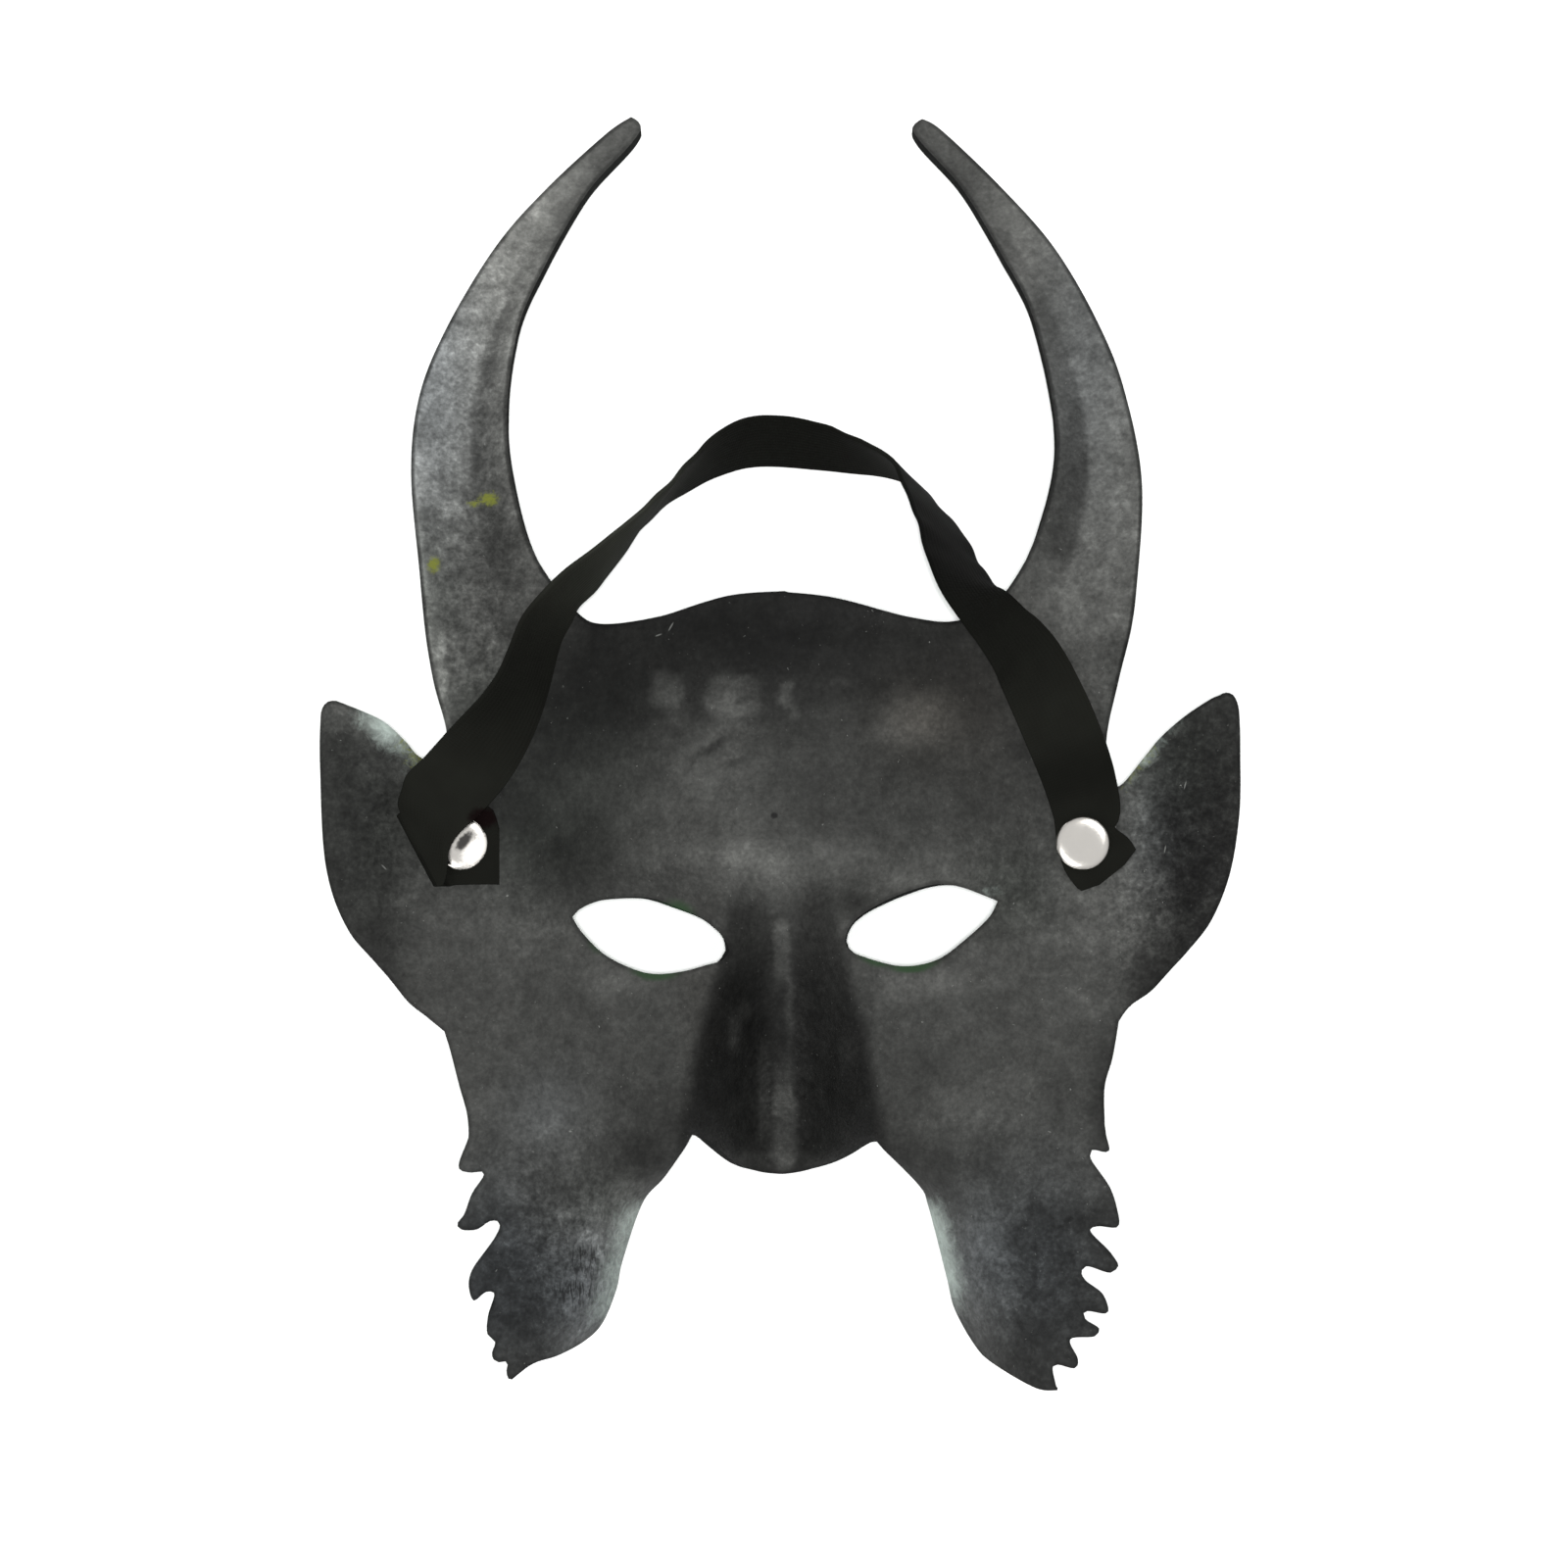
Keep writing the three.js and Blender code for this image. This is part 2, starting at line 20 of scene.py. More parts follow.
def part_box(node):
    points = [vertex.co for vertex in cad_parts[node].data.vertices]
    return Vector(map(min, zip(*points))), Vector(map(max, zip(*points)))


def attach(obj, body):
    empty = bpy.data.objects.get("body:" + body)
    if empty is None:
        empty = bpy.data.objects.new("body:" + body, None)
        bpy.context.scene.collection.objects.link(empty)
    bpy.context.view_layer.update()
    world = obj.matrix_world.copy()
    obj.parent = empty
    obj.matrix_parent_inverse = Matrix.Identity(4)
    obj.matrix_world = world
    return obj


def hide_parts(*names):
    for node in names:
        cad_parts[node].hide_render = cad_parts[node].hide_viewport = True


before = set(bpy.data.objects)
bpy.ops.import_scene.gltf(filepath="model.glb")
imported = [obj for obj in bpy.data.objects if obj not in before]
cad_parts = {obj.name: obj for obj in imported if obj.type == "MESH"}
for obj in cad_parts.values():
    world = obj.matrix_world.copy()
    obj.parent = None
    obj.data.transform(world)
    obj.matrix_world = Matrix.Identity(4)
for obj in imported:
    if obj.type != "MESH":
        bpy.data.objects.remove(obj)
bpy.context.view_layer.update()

MM = 0.001
ROOT = "root"

# %% [markdown]
# ## Camera
#
# The photograph shows the mask square on, with hardly any perspective: both cheeks and both horns are
# seen at one scale. A very long lens far above gives that. The picture is 1600 pixels wide, and the 20 mm
# strap is about 80 of them, so one pixel is about a quarter of a millimetre.

# %% Camera straight above the mask
PIXEL = 0.245
PICTURE_PIXELS = 1600
PICTURE_MIDDLE = (0.86, -7.72)
LENS = 1500
SENSOR_WIDTH = 36
MIDDLE_HEIGHT = 45

camera_data = bpy.data.cameras.new("camera")
camera_data.lens = LENS
camera_data.sensor_width = SENSOR_WIDTH
distance = PIXEL * PICTURE_PIXELS * LENS / SENSOR_WIDTH
camera = bpy.data.objects.new("camera", camera_data)
camera.location = Vector((*PICTURE_MIDDLE, MIDDLE_HEIGHT + distance)) * MM
bpy.context.scene.collection.objects.link(camera)
bpy.context.scene.camera = camera
print("camera", round(distance * MM, 2), "m above the mask")

# %% [markdown]
# ## Smooth lines and profiles
#
# Two helpers carry the whole shape. `spline` walks along a smooth line through a few points at even
# steps, which is how a cutting line is drawn. `profile` reads one smooth value at a place, such as how
# deep the nose is at some height, so a form can be described by a handful of numbers.

# %% Helpers for lines and profiles
FINE_STEPS = 40     # between two given points


def spline(points, step):
    """Points at even steps along a smooth line through the given ones, both ends kept."""
    p = np.array(points, float)
    padded = np.vstack([p[:1], p, p[-1:]])
    t = np.linspace(0, 1, FINE_STEPS, endpoint=False)[:, None]
    fine = []
    for a, b, c, d in zip(padded, padded[1:], padded[2:], padded[3:]):
        fine.append(0.5 * (2 * b + (c - a) * t + (2 * a - 5 * b + 4 * c - d) * t ** 2
                           + (3 * b - a - 3 * c + d) * t ** 3))
    fine = np.vstack([*fine, p[-1:]])
    walked = np.r_[0, np.cumsum(np.linalg.norm(np.diff(fine, axis=0), axis=1))]
    places = np.linspace(0, walked[-1], max(3, round(walked[-1] / step) + 1))
    return np.stack([np.interp(places, walked, fine[:, k]) for k in range(p.shape[1])], axis=1)


def profile(points, place):
    """A smooth value at a place, through points of (place, value)."""
    p = np.array(sorted(points), float)
    x, y = p.T
    left, right = np.r_[0, np.arange(len(x) - 1)], np.r_[np.arange(1, len(x)), len(x) - 1]
    slope = (y[right] - y[left]) / (x[right] - x[left])
    place = np.asarray(place, float)
    i = np.clip(np.searchsorted(x, place, side="right") - 1, 0, len(x) - 2)
    run = x[i + 1] - x[i]
    t = np.clip((place - x[i]) / run, 0, 1)
    s = 1 - t
    return (y[i] * (1 + 2 * t) * s * s + y[i + 1] * t * t * (3 - 2 * t)
            + run * t * s * (slope[i] * s - slope[i + 1] * t))


def smooth(x, start, end):
    """0 before start, 1 after end, and a soft step between."""
    t = np.clip((x - start) / (end - start), 0, 1)
    return t * t * (3 - 2 * t)


def spot(x, y, at, reach):
    """A soft round spot: 1 at its middle, fading over its reach, which may differ along x and y."""
    reach_x, reach_y = reach if isinstance(reach, tuple) else (reach, reach)
    return np.exp(-((x - at[0]) / reach_x) ** 2 - ((y - at[1]) / reach_y) ** 2)


# %% [markdown]
# ## The elastic strap
#
# The strap is a 20 mm band of woven elastic, riveted flat to both temples. At its left end it is folded
# back over its own rivet. It climbs beside the ear, turns on edge, and hangs in an arch from horn to
# horn, down to the table. A curve with a bevel turns by a rule of its own where the band folds back, so
# the band is lofted: flat sections stand along the route, each with its own way across, and are joined
# into one closed skin. The route is the frame's, a little narrower at its right end. It was fitted by a
# program to both edges of the band in the photograph, and its heights were judged first.

# %% The band's route
STRAP_WIDTH = 20
STRAP_THICKNESS = 1.2
TAB_BELOW_CAP = 2.8
STRAP_TAB = [(-70.2, -25.9, 0.7), (-72.3, -23.2, 0.96), (-80, -22.9, 1)]   # x, y, and share of the width
STRAP_FOLD = {"start": (-95.6, -15.3), "end": (-86.1, -33.3), "ramp": 3.8, "lift": 3.4, "loop": 4.2}
# x, y, z, turn of the band about its own length (0 flat, 90 on edge), and share of the width
STRAP_ROUTE = np.array([
    (-86.3, -12.7, 71.8, 0, 1), (-77.9, -3.6, 71.2, 4, 1), (-69.9, 7.3, 73.4, 31, 1),
    (-64, 18.6, 76.2, 50, 1), (-59.5, 31.2, 77.4, 56, 1), (-53.1, 39.5, 76.8, 62, 1),
    (-44.4, 47.4, 67, 69, 1), (-37.7, 54.2, 53.5, 79, 1), (-31.6, 61.5, 40.2, 86, 1),
    (-24.9, 68.6, 27.3, 78, 1), (-15.6, 75.2, 16, 61, 1), (-7.6, 77.9, 10.7, 53, 1),
    (0.2, 78.1, 8.9, 52, 1), (7.9, 77.1, 8.9, 55, 1), (15.9, 75.7, 10.2, 61, 1),
    (24.3, 73.6, 16.2, 73, 1), (31, 70, 25.1, 87, 1), (36.6, 63, 38.1, 104, 1),
    (40.5, 55.8, 50.9, 117, 1), (43.3, 48.9, 63.1, 123, 1), (47.8, 40.5, 75.8, 129, 1),
    (55.7, 30.9, 79, 137, 1), (61.5, 23.2, 76.4, 153, 0.99), (66.2, 14.2, 73.8, 164, 0.97),
    (70.8, 3.8, 71.2, 174, 0.945), (74.1, -5, 68.2, 178, 0.915), (76.4, -14.3, 66, 180, 0.855),
    (76.6, -20, 66, 180, 0.79), (78.6, -25, 66, 180, 0.88), (81.8, -29.1, 66, 180, 0.87),
    (82.4, -29.9, 66, 180, 0.7), (82.8, -30.4, 66, 180, 0.4)], float)
FOLD_SECTIONS = 7
SECTION_STEP = 1.4
SAMPLES = 12        # of the fine curve, for each rough section
NUDGE = 0.01        # how far along the route to either side its direction is read


def bend(points, t):
    """The place t along a curve through points, which doesn't overshoot where they crowd together."""
    ends = np.vstack([2 * points[0] - points[1], points, 2 * points[-1] - points[-2]])
    i = min(int(t), len(points) - 2)
    w = t - i
    a, b, c, d = ends[i:i + 4]
    ab, bc, cd = (math.sqrt(np.linalg.norm(q - p)) for p, q in ((a, b), (b, c), (c, d)))
    leave = ((b - a) / ab - (c - a) / (ab + bc) + (c - b) / bc) * bc
    arrive = ((c - b) / bc - (d - b) / (bc + cd) + (d - c) / cd) * bc
    return (b + leave * w + (3 * (c - b) - 2 * leave - arrive) * w * w
            + (2 * (b - c) + leave + arrive) * w ** 3)


def unit(v):
    return v / np.linalg.norm(v)


def folded_end():
    """Sections of the riveted end: flat out to the fold line, round it, and back over itself."""
    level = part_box("rivet_left")[1].z / MM - TAB_BELOW_CAP
    up = np.array((0.0, 0, 1))
    sections = [np.r_[x, y, level, 0, STRAP_WIDTH * share, 0, up] for x, y, share in STRAP_TAB]
    start, end = (np.array((*STRAP_FOLD[k], level + STRAP_FOLD["lift"])) for k in ("start", "end"))
    outwards = unit(np.cross((0, 0, 1), start - end))

    def moved(shift):
        """Middle and width of the fold moved aside, its lower end kept as high up the mask."""
        upper, lower = start + shift, end + shift
        lower[1] = end[1]
        return (upper + lower) / 2, upper - lower

    middle, across = moved(-outwards * STRAP_FOLD["ramp"])
    sections.append(np.r_[middle[:2], level, across, up])
    radius = STRAP_FOLD["loop"] / 2
    for angle in np.linspace(0, np.pi, FOLD_SECTIONS):
        middle, across = moved(up * radius * (1 - np.cos(angle)) + outwards * radius * (np.sin(angle) - 1))
        sections.append(np.r_[middle, across, up * np.cos(angle) - outwards * np.sin(angle)])
    return sections


def free_run():
    """Sections of the rest of the band, which turns about its own length as it goes."""
    turns, shares = (list(enumerate(STRAP_ROUTE[:, k])) for k in (3, 4))
    route = STRAP_ROUTE[:, :3]
    sections = []
    for t in np.linspace(0, len(route) - 1, 2 * len(route) - 1):
        along = unit(bend(route, min(t + NUDGE, len(route) - 1)) - bend(route, max(t - NUDGE, 0)))
        level = unit(np.cross((0, 0, 1), along))
        rise = np.cross(along, level)
        turn = math.radians(float(profile(turns, t)))
        wide = STRAP_WIDTH * float(profile(shares, t))
        across = (level * math.cos(turn) + rise * math.sin(turn)) * wide
        sections.append(np.r_[bend(route, t), across, level * math.sin(turn) - rise * math.cos(turn)])
    return sections


def even_sections():
    """The same band, with a section at every even step along its middle."""
    rough = np.array(folded_end() + free_run())
    fine = np.array([bend(rough, t) for t in np.linspace(0, len(rough) - 1, SAMPLES * len(rough))])
    walked = np.r_[0, np.cumsum(np.linalg.norm(np.diff(fine[:, :3], axis=0), axis=1))]
    places = np.linspace(0, walked[-1], round(walked[-1] / SECTION_STEP) + 1)
    return np.stack([np.interp(places, walked, column) for column in fine.T], axis=1), places


strap_sections, strap_places = even_sections()

# %% [markdown]
# The band's section is flat, with rounded woven edges and a shallow groove inside each. It is pulled a
# little out of line in three places: puckered where it is gathered by the right rivet, bulging beside the
# fold, and eased back off the cap of the left rivet.

# %% Loft the band
FACE_POINTS = 24
FACE_HALF = 0.95    # half of the flat face, as a share of half the width
GROOVE_PLACE, GROOVE_WIDTH, GROOVE_DEPTH = 0.86, 0.03, 0.16
WOVEN_EDGE = [(0.985, 0.75), (1.0, 0.0), (0.985, -0.75)]
FOLD_OVER = (27.5, 30)      # where along the band the fold has ended, and pulls begin
PULLS = [       # x, y, reach along x and y of each place, and how far it is pulled along x and up
    (83.9, -18.7, 3.0, 1.6, -0.9, 0.7), (-95, -13.2, 2.8, 3.4, -2.6, 0), (-81.5, -23, 3.0, 6.5, -1.9, 0)]
SHEEN = [       # place along the band, and how many stops lighter its sheen makes it
    (0, 0), (24, 0), (38, 0.3), (50, 0.35), (64, 0.05), (77, -0.15), (90, 0.1), (101, 0.9), (116, 1.8),
    (133, 1.9), (155, 1.2), (170, 0.4), (183, -0.2), (199, -0.3), (215, -0.4), (228, -0.1), (243, 0.1),
    (257, -0.6), (270, -1.5), (285, -1.8), (293, -1.8), (301, -1.1), (316, -0.3), (330, 0.1), (336, 0.3),
    (347, 0.25), (357, -0.3), (367, 0), (385, 0.1)]


def band_section():
    """Points round the section: how far across, from -1 to 1, and how far up, from -1 to 1."""
    across = np.linspace(-FACE_HALF, FACE_HALF, FACE_POINTS)
    groove = 1 - GROOVE_DEPTH * np.exp(-((np.abs(across) - GROOVE_PLACE) / GROOVE_WIDTH) ** 2)
    upper = list(zip(across, groove))
    lower = [(x, -h) for x, h in reversed(upper)]
    return np.array(upper + WOVEN_EDGE + lower + [(-x, -h) for x, h in WOVEN_EDGE])


def loft_band():
    """Points of the whole band, ring by ring, pulled out of line, and the section."""
    section = band_section()
    centre, across, facing = strap_sections[:, :3], strap_sections[:, 3:6], strap_sections[:, 6:9]
    facing = facing / np.linalg.norm(facing, axis=1)[:, None]
    points = (centre[:, None] + across[:, None] * section[None, :, :1] / 2
              + facing[:, None] * section[None, :, 1:] * STRAP_THICKNESS / 2)
    x, y = points[..., 0].copy(), points[..., 1].copy()
    free = smooth(strap_places, *FOLD_OVER)[:, None]
    for at_x, at_y, reach_x, reach_y, aside, up in PULLS:
        near = spot(x, y, (at_x, at_y), (reach_x, reach_y)) * free
        points[..., 0] += aside * near
        points[..., 2] += up * near
    return points, section


def mesh_object(name, points, faces):
    """A mesh object at the origin, from points in millimetres."""
    mesh = bpy.data.meshes.new(name)
    mesh.from_pydata(np.asarray(points).reshape(-1, 3) * MM, [], faces)
    made = bpy.data.objects.new(name, mesh)
    bpy.context.scene.collection.objects.link(made)
    return made


def only(obj):
    """Selects this object alone, and makes it the active one."""
    if bpy.context.object and bpy.context.object.mode != "OBJECT":
        bpy.ops.object.mode_set(mode="OBJECT")
    bpy.ops.object.select_all(action="DESELECT")
    obj.select_set(True)
    bpy.context.view_layer.objects.active = obj


def face_outwards(degrees):
    """From edit mode: turns all faces outwards, and shades them smooth across less than this angle."""
    bpy.ops.mesh.select_all(action="SELECT")
    bpy.ops.mesh.normals_make_consistent(inside=False)
    bpy.ops.object.mode_set(mode="OBJECT")
    bpy.ops.object.shade_smooth_by_angle(angle=math.radians(degrees))


band_points, section = loft_band()
rings, round_it = band_points.shape[:2]
quads = [(i * round_it + k, i * round_it + (k + 1) % round_it, (i + 1) * round_it + (k + 1) % round_it,
          (i + 1) * round_it + k) for i in range(rings - 1) for k in range(round_it)]
ends = [tuple(range(round_it))[::-1], tuple((rings - 1) * round_it + k for k in range(round_it))]
strap = mesh_object("strap", band_points, quads + ends)

sheen = strap.data.attributes.new("sheen", "FLOAT", "POINT")
sheen.data.foreach_set("value", np.repeat(profile(SHEEN, strap_places), round_it).astype(np.float32))
weave = strap.data.uv_layers.new(name="weave")
across_uv = np.tile((section[:, 0] + 1) / 2, rings)
along_uv = np.repeat(strap_places / STRAP_WIDTH, round_it)
corner = np.array([loop.vertex_index for loop in strap.data.loops])
weave.data.foreach_set("uv", np.stack([across_uv[corner], along_uv[corner]], axis=1).ravel())

only(strap)
bpy.ops.object.mode_set(mode="EDIT")
face_outwards(40)
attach(strap, ROOT)
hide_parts("elastic_strap")
print("strap mesh:", len(strap.data.polygons), "faces")

# %% [markdown]
# ## The cut line
#
# The maker cuts the whole mask from one hide: forehead, horns, ears, cheeks, the toothed beard lobes and
# the nose. The two sides were cut by hand and differ a little, so each side has its own line, measured
# outwards from the middle (u) and upwards (v). Each beard tooth hangs like a thorn: a long swelling back,
# a small blunt tip, and a short hooked underside. The teeth are a program's trace of their edge in the
# photograph, thinned, and the other stretches were read off it.

# %% The outline of each side
LEFT = {
    "sign": -1,
    "forehead_to_horn_tip": [
        (-1, 41.2), (14, 40), (30.5, 35), (44, 33), (50.5, 35), (57, 43.5), (63, 57), (67, 80),
        (64.5, 104), (57, 122), (47, 139.5), (36, 154.5), (35.5, 158), (37.5, 159.5)],
    "horn_tip_to_ear": [
        (37.5, 159.5), (44, 155), (59, 141), (71.5, 126.5), (84, 105.5), (91, 88), (93, 68.5),
        (90.5, 43), (87, 19.5), (83.5, 6), (83, -4)],
    "ear_top": [
        (83, -4), (90, -0.8), (93.2, 2.5), (98.4, 7.4), (104.1, 10.6), (108.1, 12.4), (110.9, 13.3)],
    "ear_outer": [
        (110.9, 13.3), (112.9, 13), (114.3, 11.5), (114.9, 8.5), (115, -3.5), (113.5, -28.5),
        (107.5, -45), (95.5, -60), (88.5, -65.8), (84, -69.5)],
    "cheek": [(84, -69.5), (82.5, -74.5), (80.5, -82.5), (78.5, -90), (78, -96)],
    "teeth": [
        (78.1, -96), (80.3, -103.8), (77.1, -104.8), (74.6, -104.6), (74.2, -105.2), (77.1, -110),
        (79.2, -115.5), (80.6, -117.2), (80.7, -118.2), (79.7, -119), (77.8, -119.2), (75.6, -118.9),
        (72.6, -116.9), (70.7, -116.9), (70.1, -117.9), (71.2, -120.7), (77.1, -129.2), (77.9, -132.2),
        (77.6, -134.9), (76.6, -136.8), (73.6, -134.6), (71.6, -134.8), (73.1, -140.6), (73.2, -145.2),
        (71.3, -147.1), (72.1, -149.8), (71.7, -151.5), (70.4, -152.2), (68.7, -152), (68.2, -152.8),
        (68.5, -154.2), (68, -156.3), (67.1, -156.5)],
    "lobe_inner": [
        (67.1, -156.5), (61.9, -152.6), (55.5, -150.5), (49, -147), (44.5, -142.5), (41, -134),
        (39.5, -127), (34.5, -112.5), (29, -106), (22, -96)],
    "nose_bottom": [
        (22, -96), (20, -97.2), (16.3, -100.3), (11.4, -103.3), (5.7, -105), (0, -105.5), (-0.5, -105.5)],
    "eye_top": [
        (52, -41), (50, -39), (46, -37.7), (41, -37.2), (34, -37.3), (27, -39.4), (20.5, -42),
        (17, -44.6), (15, -47), (14, -49.4)],
    "eye_bottom": [
        (14, -49.4), (15.8, -51.3), (20.5, -52.8), (25, -53.9), (31.5, -54.6), (37, -53.6), (44, -50.3),
        (49.5, -44.9), (52, -41)],
}
RIGHT = {
    "sign": 1,
    "forehead_to_horn_tip": [
        (1, 41), (14.5, 39.5), (31.5, 35), (43, 33.5), (50.5, 36), (56.5, 41.5), (63.5, 56.5),
        (67.5, 78), (62, 107), (53.5, 124.5), (43.5, 141.5), (34, 154.5), (33.5, 157.5), (35.5, 159)],
    "horn_tip_to_ear": [
        (35.5, 159), (40.5, 156), (55, 142), (68.5, 126.5), (79.5, 107.5), (86.5, 90), (91, 66),
        (89, 38.5), (84.5, 18.5), (81.5, 4.5), (81.5, -7)],
    "ear_top": [
        (81.5, -7.5), (85, -7.8), (91, -0.6), (96.2, 5.2), (105.8, 13.2), (109.3, 15.2), (111.3, 15.7)],
    "ear_outer": [
        (111.3, 15.7), (112.9, 15), (114, 12.9), (114.6, 9.3), (114.8, 0), (114.5, -16), (111.5, -32.5),
        (104.5, -47), (94.5, -58), (87.5, -63), (84.5, -67)],
    "cheek": [(84.5, -67), (83, -76), (81, -83.5), (81, -93)],
    "teeth": [
        (81.1, -93), (81.3, -95.2), (82.1, -99.3), (81.2, -99.7), (77.8, -99.2), (77.4, -100.6),
        (82.5, -108.9), (84.1, -114), (84.6, -117.7), (83.9, -118.5), (79, -118.2), (77.3, -119),
        (82.4, -124.7), (84.4, -128), (83.8, -129), (82.4, -129.8), (76.3, -128.2), (75.3, -129.1),
        (75.2, -130), (76.1, -131.6), (80.5, -135.1), (81.9, -139.4), (81.2, -140), (76.6, -139.4),
        (75.7, -139.9), (76.1, -141.3), (79.6, -143.7), (79.5, -144.7), (78.5, -145.7), (72.3, -146.5),
        (74.3, -151.3), (74.2, -153), (73.4, -153.7), (69.2, -152.8), (68.1, -153.2), (69.1, -159.2)],
    "lobe_inner": [
        (69.1, -159.2), (63.6, -158.6), (53, -152.5), (48.5, -148), (43.5, -139), (41.5, -131),
        (37, -113.5), (34.5, -108), (24, -97.5)],
    "nose_bottom": [
        (24, -97.5), (21, -98.6), (17.2, -101), (12.3, -103.1), (6.5, -104.8), (1, -105.5), (0.5, -105.5)],
    "eye_top": [
        (54.2, -37), (50.5, -35.7), (44.8, -34.2), (39, -34.1), (31, -36.5), (24, -39.6), (20, -42.2),
        (18, -44.8), (17.3, -47)],
    "eye_bottom": [
        (17.3, -47), (18.6, -49), (25.4, -51.5), (32.5, -52.5), (40, -51), (46, -46.7), (52, -41.1),
        (54.2, -37)],
}
for side, node in ((LEFT, "rivet_left"), (RIGHT, "rivet_right")):
    low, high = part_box(node)
    side["rivet"] = (abs(low[0] + high[0]) / 2 / MM, (low[1] + high[1]) / 2 / MM)
    print(node, "stands at", [round(v, 1) for v in side["rivet"]])

# %% Join the stretches into closed loops
EDGE_STEP = 1.1
RIVET_HOLE_RADIUS, RIVET_HOLE_SIDES = 2.35, 20
CLOSEST_POINTS = 0.3


def stretch(side, name):
    return spline([(side["sign"] * u, v) for u, v in side[name]], EDGE_STEP)


def beard(side):
    """The saw teeth, drawn through each given point so that their tips and notches stay crisp."""
    line = np.array(side["teeth"]) * (side["sign"], 1)
    steps = [max(1, round(float(np.linalg.norm(b - a)) / EDGE_STEP)) for a, b in zip(line, line[1:])]
    places = np.concatenate([i + np.arange(count) / count for i, count in enumerate(steps)])
    return np.array([bend(line, t) for t in places] + [line[-1]])


def outline_of(side):
    names = ("forehead_to_horn_tip", "horn_tip_to_ear", "ear_top", "ear_outer", "cheek")
    return np.vstack([*(stretch(side, n) for n in names), beard(side), stretch(side, "lobe_inner"),
                      stretch(side, "nose_bottom")])


def closed(loop):
    """A loop without its repeated points."""
    gap = np.linalg.norm(loop - np.roll(loop, -1, axis=0), axis=1)
    return loop[gap > CLOSEST_POINTS]


def turned(loop, leftwards):
    """The loop walked anticlockwise, or else clockwise, so that the leather is on its left."""
    area = np.sum(loop[:, 0] * np.roll(loop[:, 1], -1) - np.roll(loop[:, 0], -1) * loop[:, 1])
    return loop if (area > 0) == leftwards else loop[::-1]


def rivet_hole(side):
    angle = np.linspace(0, 2 * np.pi, RIVET_HOLE_SIDES, endpoint=False)
    x, y = side["sign"] * side["rivet"][0], side["rivet"][1]
    return np.stack([x + RIVET_HOLE_RADIUS * np.cos(angle), y + RIVET_HOLE_RADIUS * np.sin(angle)], axis=1)


outer_loop = turned(closed(np.vstack([outline_of(LEFT), outline_of(RIGHT)[::-1]])), True)
hole_loops = [turned(closed(np.vstack([stretch(side, "eye_top"), stretch(side, "eye_bottom")])), False)
              for side in (LEFT, RIGHT)]
hole_loops += [turned(rivet_hole(side), False) for side in (LEFT, RIGHT)]
loops = [outer_loop, *hole_loops]
print("cut line:", len(outer_loop), "points, and", len(hole_loops), "holes")

# %% [markdown]
# ## The moulded form
#
# Wet leather takes the form of the block it is pressed on. The form here is one smooth height for every
# point of the flat hide: a bowl from the brows out to the temples, the deep nose, a gutter behind each
# horn, ears that cup to the front, and lobes whose mouth edges turn to the front. It is the same form as
# the frame's, but for marks of a few tenths of a millimetre. The cut line follows the photograph more
# closely than the frame's: from above it lies up to 3 mm off at the eye holes, and about 1 mm elsewhere.

# %% The height of the leather's back
NOSE_X = 0.5
FACE_HEIGHT = 35
TEMPLE_RISE = 30
TEMPLE_WIDTH = 80
FOREHEAD_LEAN = [(-25, 0), (0, 1), (20, 4), (42, 9)]
BROW_DEPTH, BROW_HALF_HEIGHT = 3.5, 9
BROW_TOP, BROW_SAG = (32, -25), 0.004
NOSE_DEPTH = [(-18, 0), (-38, 4), (-60, 13.5), (-80, 25.5), (-91, 32.2), (-99, 33.4), (-106, 28.5)]
NOSE_HALF_WIDTH = [(-18, 12), (-40, 14), (-60, 18.5), (-80, 23.5), (-97, 26)]
NOSE_RIDGE = 0.09
SOCKET_DEPTH, SOCKET_AT, SOCKET_REACH = 3, (34, -45), (17, 9)
CHEEK_DEPTH, CHEEK_AT, CHEEK_REACH = 3, (50, -76), (18, 16)
HORN_VALLEY = [(20, 66), (45, 63.5), (80, 53.5), (115, 36), (140, 16.8), (160, 0.6)]
HORN_VALLEY_PLACE = 0.62
HORN_OUTER_SLOPE, HORN_INNER_SLOPE, HORN_VALLEY_ROUND = 0.26, 0.6, 2.5
HORN_ROOT = 57
EAR_ROOT, EAR_WIDTH, EAR_RISE, EAR_CUP, EAR_TIP_CURL = 88, 27, 13, 10, 6
LOBE_TURN, LOBE_TURN_WIDTH = 8, 15
LOBE_FORWARD = [(-96, 0), (-125, 1), (-160, 5)]
RIVET_CAP_RADIUS, RIVET_PAD = 6.75, 18


def edge_at(points, v):
    return profile([(height, u) for u, height in points], v)


def horn_edges(side, v):
    outer = edge_at(side["horn_tip_to_ear"][:-1], v)
    inner = np.minimum(edge_at(side["forehead_to_horn_tip"][5:-1], v), outer - 1)
    return outer, inner


